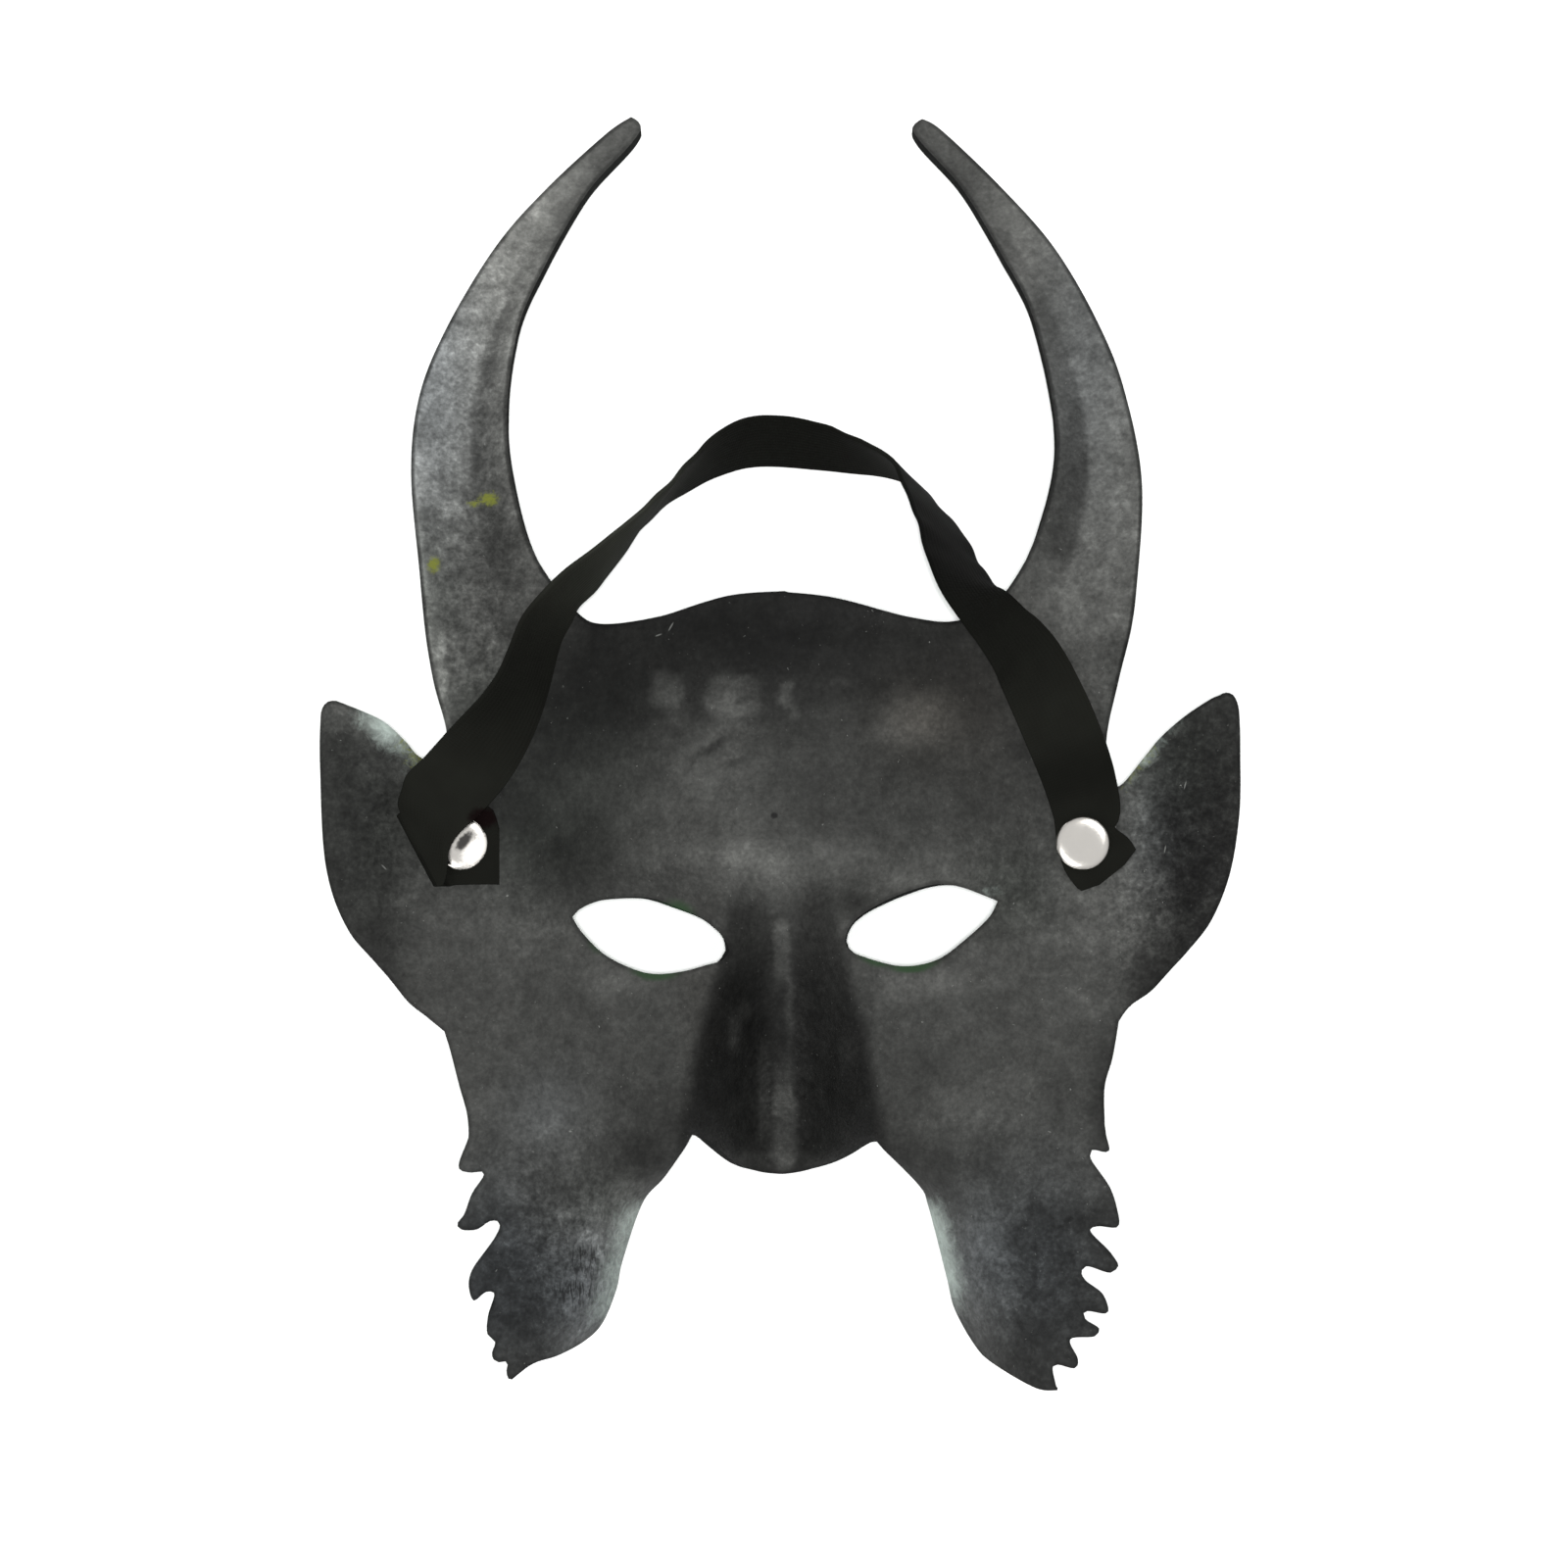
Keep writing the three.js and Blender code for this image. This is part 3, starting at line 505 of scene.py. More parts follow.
def face_height(u, v, side):
    bowl = TEMPLE_RISE * (1 - np.cos(np.pi * np.minimum(u, TEMPLE_WIDTH) / TEMPLE_WIDTH)) / 2
    brow_line = BROW_TOP[1] - BROW_SAG * (u - BROW_TOP[0]) ** 2
    brow = BROW_DEPTH * np.exp(-((v - brow_line) / BROW_HALF_HEIGHT) ** 2) * (1 - smooth(u, 40, 66))
    from_ridge = np.abs(u * side["sign"] - NOSE_X) / profile(NOSE_HALF_WIDTH, v)
    across = np.clip((from_ridge - NOSE_RIDGE) / (1 - NOSE_RIDGE), 0, 1)
    nose = profile(NOSE_DEPTH, v) * (1 + np.cos(np.pi * across)) / 2
    socket = SOCKET_DEPTH * spot(u, v, SOCKET_AT, SOCKET_REACH)
    cheek = CHEEK_DEPTH * spot(u, v, CHEEK_AT, CHEEK_REACH)
    return (FACE_HEIGHT + bowl + profile(FOREHEAD_LEAN, v) - brow + socket - cheek
            - profile(LOBE_FORWARD, v) - nose)


def horn_height(u, v, side):
    outer, inner = horn_edges(side, v)
    off = (outer - u) - HORN_VALLEY_PLACE * (outer - inner)
    slope = np.where(off < 0, HORN_OUTER_SLOPE, HORN_INNER_SLOPE)
    return profile(HORN_VALLEY, v) + slope * (np.hypot(off, HORN_VALLEY_ROUND) - HORN_VALLEY_ROUND)


def ear_height(u, v):
    out = (u - EAR_ROOT) / EAR_WIDTH
    begins = smooth(u, EAR_ROOT + 3, EAR_ROOT + 19) * (1 - smooth(v, 14, 22)) * smooth(v, -72, -60)
    return begins * (EAR_RISE * out - EAR_CUP * out ** 2 - EAR_TIP_CURL * smooth(v, -12, 16) * out)


def lobe_turn(u, v, side):
    inwards = np.clip(1 - (u - edge_at(side["lobe_inner"][3:], v)) / LOBE_TURN_WIDTH, 0, 1)
    return LOBE_TURN * inwards ** 2 * (1 - smooth(v, -114, -98))


def side_height(u, v, side):
    beside = smooth(u, HORN_ROOT - 18, HORN_ROOT)
    horn = smooth(v, 20, 60) * (beside + (1 - beside) * smooth(v, 42, 50))
    face = face_height(u, v, side) + ear_height(u, v) - lobe_turn(u, v, side)
    return face + (horn_height(u, v, side) - face) * horn


def back_height(x, y):
    """The height of the leather's back above the table, level round each rivet."""
    u = np.abs(x)
    heights = []
    for side in (LEFT, RIGHT):
        level = side_height(*np.array(side["rivet"]), side)
        away = smooth(np.hypot(u - side["rivet"][0], y - side["rivet"][1]), RIVET_CAP_RADIUS, RIVET_PAD)
        heights.append(level + (side_height(u, y, side) - level) * away)
    return np.where(x < 0, *heights)


print("brow", float(back_height(0, -20).round(1)), "mm, temple", float(back_height(-78, 0).round(1)), "mm")

# %% [markdown]
# The hide is cut square to its face. Where the leather rises towards an edge, as on the horns and under
# the nose, its thickness shows from behind as a thin dark line outside the back's own edge. So there the
# back is drawn in from the cut line by as much of the 3 mm as shows.

# %% Draw the back in where its thickness shows
LEATHER_THICKNESS = 3
MOST_SHOWN = 1.7
EASING_ROUNDS = 4


def pulled_in(loop):
    """The back's own edge: inside the cut line by as much of the thickness as shows from above."""
    along = np.roll(loop, -1, axis=0) - np.roll(loop, 1, axis=0)
    outwards = np.stack([along[:, 1], -along[:, 0]], axis=1) / np.linalg.norm(along, axis=1)[:, None]
    x, y = loop.T
    slope = np.stack([back_height(x + 0.5, y) - back_height(x - 0.5, y),
                      back_height(x, y + 0.5) - back_height(x, y - 0.5)], axis=1)
    rise = (slope * outwards).sum(axis=1) / np.sqrt(1 + (slope ** 2).sum(axis=1))
    shown = np.clip(LEATHER_THICKNESS * rise, 0, MOST_SHOWN)
    shown *= (1 - smooth(y, 138, 156)) * smooth(y, -110, -100)
    for _ in range(EASING_ROUNDS):
        shown = (np.roll(shown, 1) + shown + np.roll(shown, -1)) / 3
    return loop - outwards * shown[:, None]


loops = [pulled_in(loop) if len(loop) > RIVET_HOLE_SIDES else loop for loop in loops]
outer_loop = loops[0]
print("back edge drawn in; the cut line still has", len(outer_loop), "points")

# %% [markdown]
# ## A net over the hide
#
# The mesh must follow the teeth and the eye rims closely and still be even inside, or the moulding would
# show its facets. Cutting a square grid with a Boolean leaves slivers along every curve. A net is tidier:
# points along the cut line, two rows of points just inside it, and a honeycomb of points over the rest,
# joined into even triangles by a Delaunay net that keeps the cut line as its border.

# %% Lay out the net
NET_STEP = 1.25
ROWS_INSIDE = (0.4, 1.1)
DENSE_STEP = 0.25
ROW_CLEARANCE = 0.93
SAME_POINT = 1e-5


def search_tree(points):
    tree = kdtree.KDTree(len(points))
    for i, p in enumerate(points):
        tree.insert((p[0], p[1], 0), i)
    tree.balance()
    return tree


def distance_to(tree, points):
    """How far each point is from the nearest one in the tree."""
    return np.array([tree.find((p[0], p[1], 0))[2] for p in points])


def dense_edge():
    """Close-set points along every cut line."""
    dense = []
    for loop in loops:
        for a, b in zip(loop, np.roll(loop, -1, axis=0)):
            count = max(1, int(np.linalg.norm(b - a) / DENSE_STEP))
            dense.extend(a + (b - a) * k / count for k in range(count))
    return dense


edge_tree = search_tree(dense_edge())


def edge_distance(points):
    return distance_to(edge_tree, points)


def inside_leather(points):
    """Even-odd test of each point against all the loops."""
    inside = np.zeros(len(points), bool)
    for loop in loops:
        a, b = loop, np.roll(loop, -1, axis=0)
        for (ax, ay), (bx, by) in zip(a, b):
            if ay == by:
                continue
            level = (points[:, 1] >= min(ay, by)) & (points[:, 1] < max(ay, by))
            crossing = ax + (points[:, 1] - ay) * (bx - ax) / (by - ay)
            inside ^= level & (points[:, 0] < crossing)
    return inside


def rows_inside(loop):
    """Rows of points a little inside the cut line, left out where the leather is too narrow for them."""
    along = np.roll(loop, -1, axis=0) - np.roll(loop, 1, axis=0)
    inwards = np.stack([-along[:, 1], along[:, 0]], axis=1) / np.linalg.norm(along, axis=1)[:, None]
    rows = []
    for offset in ROWS_INSIDE:
        row = loop + inwards * offset
        rows.append(row[edge_distance(row) > ROW_CLEARANCE * offset])
    return rows


def honeycomb():
    """Points all over the leather, every second row shifted by half a step."""
    low, high = outer_loop.min(axis=0), outer_loop.max(axis=0)
    rows = []
    for i, y in enumerate(np.arange(low[1], high[1], NET_STEP * math.sqrt(3) / 2)):
        x = np.arange(low[0] + (i % 2) * NET_STEP / 2, high[0], NET_STEP)
        rows.append(np.stack([x, np.full_like(x, y)], axis=1))
    points = np.vstack(rows)
    points = points[inside_leather(points)]
    return points[edge_distance(points) > ROWS_INSIDE[-1] + 0.5 * NET_STEP]


cut_points = np.vstack(loops)
starts = np.cumsum([0] + [len(loop) for loop in loops])
cut_edges = [(int(start + i), int(start + (i + 1) % len(loop)))
             for start, loop in zip(starts, loops) for i in range(len(loop))]
free_points = np.vstack([row for loop in loops for row in rows_inside(loop)] + [honeycomb()])
net_in = np.vstack([cut_points, free_points])
verts, _, faces, *_ = delaunay_2d_cdt([Vector(p) for p in net_in], cut_edges, [], 1, SAME_POINT)
net = np.array([(v.x, v.y) for v in verts])
triangles = np.array(faces)
centres = net[triangles].mean(axis=1)
triangles = triangles[inside_leather(centres)]
print("net:", len(net), "points and", len(triangles), "triangles")

# %% [markdown]
# ## Marks in the leather
#
# A moulded hide is never as smooth as the block it was pressed on. It swells and sinks a little all over,
# and keeps creases where it was pushed together. These marks are real relief, a few tenths of a millimetre
# deep, so they catch the light from every side.

# %% Relief of the hide
def uneven(x, y, size, seed):
    """Soft unevenness from -1 to 1, with swells of about this size in millimetres."""
    return np.array([noise.noise(Vector((a / size, b / size, seed * 7.31))) for a, b in zip(x, y)])


def crease(x, y, start, end, width, sag=0.0):
    """A line pressed into the hide, 1 along its middle and fading at its ends, which may sag sideways."""
    start, end = np.array(start), np.array(end)
    run = end - start
    length = np.linalg.norm(run)
    along = ((x - start[0]) * run[0] + (y - start[1]) * run[1]) / length ** 2
    off = ((x - start[0]) * -run[1] + (y - start[1]) * run[0]) / length - sag * 4 * along * (1 - along)
    return np.exp(-(off / width) ** 2) * smooth(along, -0.1, 0.25) * (1 - smooth(along, 0.75, 1.1))


SWELLS = [(0.28, 30), (0.14, 11), (0.05, 4)]        # height and size
WRINKLES = [        # start, end, width and sag of each, in the middle of the forehead
    ((-17.6, -0.6), (-12.6, 4.2), 0.9, 0.9), ((-14.6, -3.2), (-8, -0.2), 0.9, -0.8),
    ((-19, -1.2), (-14.6, 3), 0.8, 0.5), ((-23, -4), (-17, 1.5), 0.8, 1.0),
    ((-12, 11.5), (-5, 14.5), 0.8, 0.8)]
WRINKLE_DEPTH, WRINKLE_LIP, LIP_WIDTH, LIP_SHIFT = 0.28, 0.12, 1.2, (-0.6, 1.6)
HORN_CREASE_DEPTH, HORN_CREASE = 0.3, ((71, 109), (77, 107.5), 0.7)


def shifted(point, by):
    return point[0] + by[0], point[1] + by[1]


def relief(x, y):
    """The height of these marks, which fade out where the mask rests on the table."""
    lift = sum(height * uneven(x, y, size, seed) for seed, (height, size) in enumerate(SWELLS, 1))
    for start, end, width, sag in WRINKLES:
        lift -= WRINKLE_DEPTH * crease(x, y, start, end, width, sag)
        lip = crease(x, y, shifted(start, LIP_SHIFT), shifted(end, LIP_SHIFT), LIP_WIDTH, sag)
        lift += WRINKLE_LIP * lip
    lift -= HORN_CREASE_DEPTH * crease(x, y, *HORN_CREASE)
    resting = np.maximum(spot(x, y, (0.5, -99), (9, 14)), smooth(y, 140, 150))
    return lift * (1 - resting)


# %% [markdown]
# ## The leather gets its thickness
#
# The net is raised to the height of the form, and the Solidify modifier then lays a second skin 3 mm in
# front of it and closes the cut edge. Its vertex group makes the sheet thinner within a millimetre of
# the edge, and the back drops there as well, so both arrises come out rubbed round, as on burnished
# leather. The back, the painted front and the cut edge each get their own material slot.

# %% Raise the net and thicken it
EDGE_DROP = 0.4
EDGE_THINNER = 0.24

x, y = net.T
rim = edge_distance(net)
at_edge = 1 - smooth(rim, 0, ROWS_INSIDE[-1])
height = back_height(x, y) + relief(x, y) - EDGE_DROP * at_edge
shell = mesh_object("mask_leather", np.column_stack([x, y, height]), triangles.tolist())

only(shell)
bpy.ops.object.mode_set(mode="EDIT")
bpy.ops.mesh.select_all(action="SELECT")
bpy.ops.mesh.delete_loose()
bpy.ops.object.mode_set(mode="OBJECT")
kept = np.array([v.co[:] for v in shell.data.vertices]) / MM
x, y = kept[:, 0], kept[:, 1]
rim = edge_distance(kept[:, :2])
at_edge = 1 - smooth(rim, 0, ROWS_INSIDE[-1])
thickness = shell.vertex_groups.new(name="thickness")
for i, weight in enumerate(1 - EDGE_THINNER * at_edge):
    thickness.add([i], float(weight), "REPLACE")

# %% [markdown]
# ## Depth of the dye, and painted light and shade
#
# Black dye sponged on leather never takes evenly. Here it is thin and grey on the horns, lobes and brows,
# and deep on the forehead and along the beard. The same values hold painted light and shade as well:
# painted shade down the walls of the nose and at the top of the forehead, painted light on the outer face
# of each horn and on the mouth side of each lobe, and painted shade on the inner face of each horn and the
# teeth side of each lobe. The two sides were dyed by hand and differ. All amounts are stops, where one
# stop doubles the brightness. They are kept on the mesh as named values, beside how cool or green the grey
# is, where front paint was wiped round an edge and where a pale sheen is painted, so each finish can read
# them.

# %% Stops on the large places
# Partly dye and partly painted light and shade: the two faces of the horn, its outer edge, beside its ridge
# and the two sides of the lobe.
DYE_AND_SHADE_OF_SIDES = {        # stops on the left and on the right side
    "outer face of the horn, high": (1.95, 1.3), "outer face of the horn, low": (1.7, 1.3),
    "inner face of the horn, high": (1.6, 0.85), "inner face of the horn, low": (1.3, 0.3),
    "horn tip": (1.1, 0.8), "outer edge of the horn": (-0.26, -0.16), "root of the horn": (0.5, 0.5),
    "ear": (-0.45, -1.05), "lobe by the teeth": (-1.1, -0.95), "lobe by the mouth": (0.75, 0.65),
    "beside the ridge of the horn": (-0.5, -0.25)}


def window(place, opens, open_, closes, closed_):
    """1 from open_ to closes, with a soft step up before it from opens and down after it to closed_."""
    return smooth(place, opens, open_) * (1 - smooth(place, closes, closed_))


def side_dye_and_shade(u, v, side, which):
    """Stops of dye, and of painted light and shade, on the horn, ear and lobe of one side."""
    dye = {name: pair[which] for name, pair in DYE_AND_SHADE_OF_SIDES.items()}
    outer, inner = horn_edges(side, v)
    across = (outer - u) / (outer - inner)
    outwards, high, beside = 1 - smooth(across, 0.56, 0.63), smooth(v, 70, 110), smooth(u, 39, 57)
    horn = smooth(v, 20, 60) * (beside + (1 - beside) * smooth(v, 42, 50))
    stops = 0
    # Outer face of each horn lighter and inner face darker: painted light and painted shade on the horn's two
    # faces.
    for face, share in (("outer", outwards), ("inner", 1 - outwards)):
        stops += horn * share * (dye[face + " face of the horn, high"] * high
                                 + dye[face + " face of the horn, low"] * (1 - high))
    stops += horn * dye["horn tip"] * smooth(v, 125, 158)
    # A darker line along the horn's outer edge, and darker beside its ridge: painted shade where the leather
    # turns away.
    stops += dye["outer edge of the horn"] * (1 - smooth(across, 0.05, 0.3)) * window(v, 8, 30, 55, 75)
    beside_ridge = window(across, 0.56, 0.61, 0.64, 0.9) * window(v, 38, 60, 105, 125)
    stops += dye["beside the ridge of the horn"] * beside_ridge
    stops += dye["root of the horn"] * smooth(u, 55, 68) * spot(u, v, (72, 28), (22, 14))
    stops += dye["ear"] * smooth(u, 86, 100) * smooth(-v, -20, -12)
    # The teeth side of each lobe darker and its mouth side lighter: painted shade and painted light across
    # the rounded lobe.
    by_teeth, lobe = smooth(u, 49, 65), smooth(-v, 106, 124)
    return stops + lobe * (dye["lobe by the teeth"] * by_teeth + dye["lobe by the mouth"] * (1 - by_teeth))


def middle_dye_and_shade(x, y):
    """Stops of dye and of painted shade on the nose and the forehead."""
    off = np.abs(x - NOSE_X) / profile(NOSE_HALF_WIDTH, y)
    nose = (1 - smooth(off, 0.84, 1.08)) * smooth(-y, 28, 50)
    u = np.abs(x)
    # Darker over the forehead, partly dye and partly painted shade, and darker still at its top: painted
    # shade where the forehead leans away.
    forehead = smooth(y, -4, 24) * (1 - smooth(u, 46, 62)) * (-1.95 + 0.5 * smooth(x, -5, 20))
    top = -0.7 * smooth(y, 20, 34) * (1 - smooth(np.abs(x - 2), 18, 34))
    # The whole nose is darkened, a little less along its ridge: painted shade in its deep hollow.
    return forehead + top - (1.55 + 0.2 * (1 - spot(x, y, (0, -70), (6, 60)))) * nose


# %% [markdown]
# The rest are single marks: where the sponge was dabbed twice, where a thumb rubbed the dye thin, and
# where moulding stretched the hide and paled it. Their strengths follow the difference in brightness
# between the photograph and a render, the first of them by a program's fit, so they hold painted light
# and shade as well: a painted shadow of the strap beside the left horn, and a painted highlight along the
# nose's lower rim.

# %% Marks of the sponge and of the thumb
DYE_AND_SHADE_MARKS = [       # x, y, reach along x, reach along y, and stops lighter or darker
    # ears and cheeks
    (103, -30, 9, 24, -1.1), (109, -18, 8, 22, -0.5), (84, -76, 4, 14, -0.7), (-98, -57, 7, 5, -0.5),
    (92, -58, 6, 4, -0.4), (60, 8, 5, 16, -0.5), (-68, -14, 8, 6, -0.4), (-48, -33, 9, 5, -0.4),
    (59, -33, 8, 5, -0.4), (80, -33, 8, 5, 0.5), (97, -55, 7, 8, -0.35), (-107, -22, 10, 26, -1.0),
    (90, -22, 6, 14, 0.9), (-100, -47, 7, 7, -0.4), (90, -57, 6, 5, -0.6), (94, -58, 3, 4, -0.5),
    (-111, 9, 5, 5, -0.4), (107, -10, 7, 14, -0.6), (100, 8, 4, 4, 0.6), (99, -22, 8, 8, -0.4),
    (108, 2, 5, 5, -0.3), (90, -27, 4, 6, 0.35), (78, -80, 5, 16, -0.3), (-80, -62, 8, 9, -0.3),
    (-75, -5, 12, 10, -0.5), (72, -2, 14, 12, -0.6),
    # forehead and brows
    (-28.5, 15.2, 4.5, 4.5, 0.4), (-12.6, 14.5, 6, 8, 0.45), (35.5, 11, 9, 7.5, 0.4),
    (34, -1, 9, 4, -0.25), (0, -26.5, 28, 5, 0.65), (0.5, -33, 12, 4, 0.3), (24, 17, 7, 6, -0.4),
    # the marks at (-58, 9) and (-58.5, 8) darken the leather beside the band: a painted shadow of the strap
    (0.5, 7, 5, 6, -0.3), (-58, 9, 5, 12, -0.4), (10, -14, 6, 5, -0.35), (-66, -11, 8, 13, -0.9),
    (-58.5, 8, 7, 14, -0.9), (40, -31, 14, 4, 0.5), (-36, 8, 10, 12, -0.25), (3, 27, 16, 7, -0.7),
    (-9, -32.5, 5, 4, 0.45), (20, -38, 4, 3, -0.5), (30, -32.5, 8, 3, 0.4), (50, -12, 6, 7, -0.35),
    (-58, -28, 6, 8, -0.35), (-28, 32, 4, 4, -0.45), (34, 34, 14, 3, 0.6), (-1.6, 31, 10, 5, -0.35),
    (0, -39.5, 4, 4, 0.45), (-14, -42.5, 5, 4, -0.4), (-0.5, -33, 5, 9, 0.3), (-13, -50, 5, 5, 0.3),
    (-9, -25, 8, 4.5, 0.6), (-18, -6, 11, 15, 0.4), (-50, 6, 14, 22, -1.05), (-52, -24, 14, 9, -1.0),
    (48, 4, 12, 20, -0.3), (-35, -20, 8, 10, 0.25), (25, -6, 18, 10, -0.4), (-45, 22, 8, 8, 0.2),
    (45, 24, 8, 8, 0.25), (0, 36, 10, 6, 0.45), (8, -4, 7, 7, -0.3), (-40, 11, 7, 7, -0.3),
    (40, -27, 12, 5, 0.25),
    # nose
    (0, -68, 4, 9, -0.55), (-19, -72, 4, 8, -0.35), (16.5, -75, 3, 6, 0.7), (20.5, -66, 3, 9, -0.45),
    (-15, -58, 3, 8, 0.3), (20, -91, 5, 6, -0.4), (-12, -66, 8, 22, -0.7), (16, -85, 7, 14, -0.3),
    (22, -70, 7, 16, -0.25), (15, -37, 6, 4, -0.6), (-9, -47, 7, 9, 0.65), (10.5, -47, 7, 9, 0.65),
    (13, -62, 5, 6, 0.4), (17, -95, 6, 6, 0.1), (-16, -96, 6, 5, 0.3), (-16, -88, 4, 5, -0.3),
    # these three, along the nose's lower rim, are a painted highlight on its rounded edge
    (-8, -101.5, 7, 2.5, 0.95), (1, -102, 7, 2.5, 0.6), (9, -102, 7, 2.5, 0.8),
    # cheeks under the eyes, and lobes
    (-56, -92, 15, 9, 0.7), (42, -93, 8, 10, 0.25), (38, -57, 14, 5, 0.8), (-42, -57, 8, 4, 0.8),
    (-27, -88, 9, 14, -0.7), (-36, -101, 10, 7, -0.9), (27, -97, 7, 8, -0.5), (-62, -44, 16, 6, 0.3),
    (82, -44, 16, 8, 0.45), (53, -84, 9, 6, 0.35), (-72, -98, 9, 6, -0.3), (-44, -116, 7, 14, 0.6),
    (42, -122, 6, 16, 0.25), (56, -150, 12, 8, -0.7), (80, -115, 7, 7, -0.5), (38, -103, 7, 7, -0.5),
    (-50, -108, 7, 7, -0.3), (-52, -33, 6, 4, -0.4), (-34, -99, 10, 7, -0.4), (50, -101, 9, 7, -0.4),
    (31, -102, 6, 7, -0.5), (35, -80, 5, 9, -0.45), (50, -91, 6, 6, 0.4), (81, -90, 4, 12, -1.0),
    (69, -86, 5, 8, -0.35), (-39, -87, 5, 9, -0.4), (40, -52, 6, 2.5, -0.5), (-68, -121, 6, 6, 0.7),
    (-62, -131, 9, 5, -0.35), (-43, -128, 4, 5, -0.9), (-43, -119, 4, 6, 0.3), (-58, -111, 6, 4, -0.3),
    (-68, -150, 5, 4, 0.4), (-67, -141, 5, 5, -0.3), (40, -111, 5, 7, -0.7), (70, -131, 6, 6, -0.35),
    (52, -147, 6, 5, -0.25), (69, -116, 9, 9, -0.4), (60, -131, 8, 6, 0.3), (-38, -111, 4, 5, 0.35),
    (79, -62, 7, 5, 0.35), (69, -33, 5, 5, 0.35), (89, -23, 4, 6, -0.3),
    # horns
    (-84, 98, 16, 26, 0.15), (-72, 50, 12, 26, -1.2), (-66, 45, 8, 12, -0.25), (70, 66, 8, 16, -0.6),
    (-87, 66, 4, 6, 0.4), (-69, 24, 5, 10, 0.55), (-67, 46, 5, 8, 0.3), (50, 134, 4, 7, 1.0),
    (89.5, 51, 3, 9, 0.4), (79, 26, 6, 4, -0.4), (-60, 34, 6, 10, 0.15), (-79, 17, 7, 8, 0.6),
    (68, 38, 7, 7, 0.3), (89, 70, 4, 14, -0.45), (78, 106, 5, 12, -0.25), (72, 52, 8, 12, -0.2),
    (59, 116, 3, 8, 0.4), (-50, 141, 4, 7, 0.5), (-71, 90, 4, 9, -0.45), (68, 112, 4, 8, -0.45),
    (39, 151, 3, 5, 0.35), (-89, 56, 4, 5, -0.4), (-86, 31, 3, 4, 0.6), (-66, 106, 3, 6, 0.4),
    (-74, 41, 4, 3, -0.35), (-80, 52, 4, 4, -0.3)]
TINTS = {           # x, y, reach along x, reach along y, and share of each tint of the grey
    "cool": [
        (-50, -135, 16, 18, 0.9), (-72, -128, 12, 22, 1.0), (66, -128, 16, 24, 0.9), (48, -125, 10, 18, 0.5),
        (76, 96, 12, 36, 0.4), (-88, 92, 12, 40, 0.6), (94, -20, 8, 16, 0.4), (-58, -90, 12, 12, 0.4)],
    "brown": [(36, 10, 13, 12, 1.0), (52, 14, 10, 18, 0.5), (-20, -60, 6, 20, 0.3)],
    "green": [
        (-70, 6, 16, 14, 0.7), (-62, -20, 16, 14, 1.0), (-46, 4, 14, 18, 0.5), (-104, -20, 12, 24, 0.6),
        (100, -2, 12, 20, 0.9), (-88, 40, 8, 18, 0.5), (-44, -112, 10, 8, 0.5), (58, -34, 10, 10, 0.7)]}
GRIT = [            # and how much rougher than on the forehead the dye lies there
    (-54, -128, 24, 26, 1.6), (66, -130, 22, 26, 1.2), (104, -26, 18, 44, 2.2), (-104, -20, 14, 34, 0.9),
    (0, -80, 18, 24, 0.7), (-60, -38, 14, 12, 0.3), (-78, 80, 20, 80, 0.9), (80, 80, 20, 80, 0.4),
    (58, -34, 16, 12, 0.5), (-20, -30, 30, 8, 0.2), (-74, 30, 14, 24, 0.5), (0, 24, 40, 18, 0.2)]
DABS_AND_RIDGE_HIGHLIGHT = [            # x, y, half width, half height, softness and stops lighter: places rubbed thin, and a painted highlight along the ridge of the nose
    (-28.5, 15.8, 4.2, 4.4, 0.3, 1.3), (-25.1, 8.4, 2.2, 2, 0.5, 0.5), (-11.5, 14.8, 7.2, 5.4, 0.2, 1.05),
    (-12, 9, 6.6, 5, 0.6, 0.4), (1.6, 15, 1.7, 3.2, 0.3, 1.5), (3.8, 10, 1.4, 2.4, 0.5, 0.7),
    (13.1, 17.5, 4.4, 1.2, 0.4, 0.5), (33.8, 8.8, 9.2, 6.2, 0.7, 0.9), (0.2, -49.5, 2.1, 7.5, 0.2, 1.4),
    (2.2, -63, 0.9, 11, 0.5, 1.0), (0.8, -84, 2.6, 8, 0.25, 0.7), (1.2, -93, 3.0, 11.5, 0.2, 1.05),
    (-4.4, -85, 1.7, 12, 0.3, 1.0), (-11.5, -70, 1.7, 5, 0.5, 1.6), (-9, -64, 1.3, 2.4, 0.6, 1.2),
    (-84.3, 22, 1.1, 8, 0.4, 1.2)]


def marked(marks, x, y):
    """The sum of soft spots."""
    return sum(amount * spot(x, y, (at_x, at_y), (reach_x, reach_y))
               for at_x, at_y, reach_x, reach_y, amount in marks)


def dabbed_and_highlighted(x, y):
    """The sum of the dabs and of the ridge highlight, whose outlines are squarish and ragged."""
    wobble = 0.6 + 1.0 * smooth(y, -30, 0)
    ragged_x, ragged_y = x + wobble * uneven(x, y, 4, 5), y + wobble * uneven(x, y, 4, 6)
    total = np.zeros(len(x))
    for at_x, at_y, half_x, half_y, softness, amount in DABS_AND_RIDGE_HIGHLIGHT:
        out = (np.abs((ragged_x - at_x) / half_x) ** 3 + np.abs((ragged_y - at_y) / half_y) ** 3) ** (1 / 3)
        total += amount * (1 - smooth(out, 1 - softness, 1 + softness))
    return total


# %% [markdown]
# A pale green sheen is painted along the mouth side of each lobe and by the eyes, and a grey-green one on
# top of both ears, where the leather turns away. Front paint was wiped round several edges: green on the
# eye rims and yellow-green streaks lower on the ears. Three dabs are on the left horn.

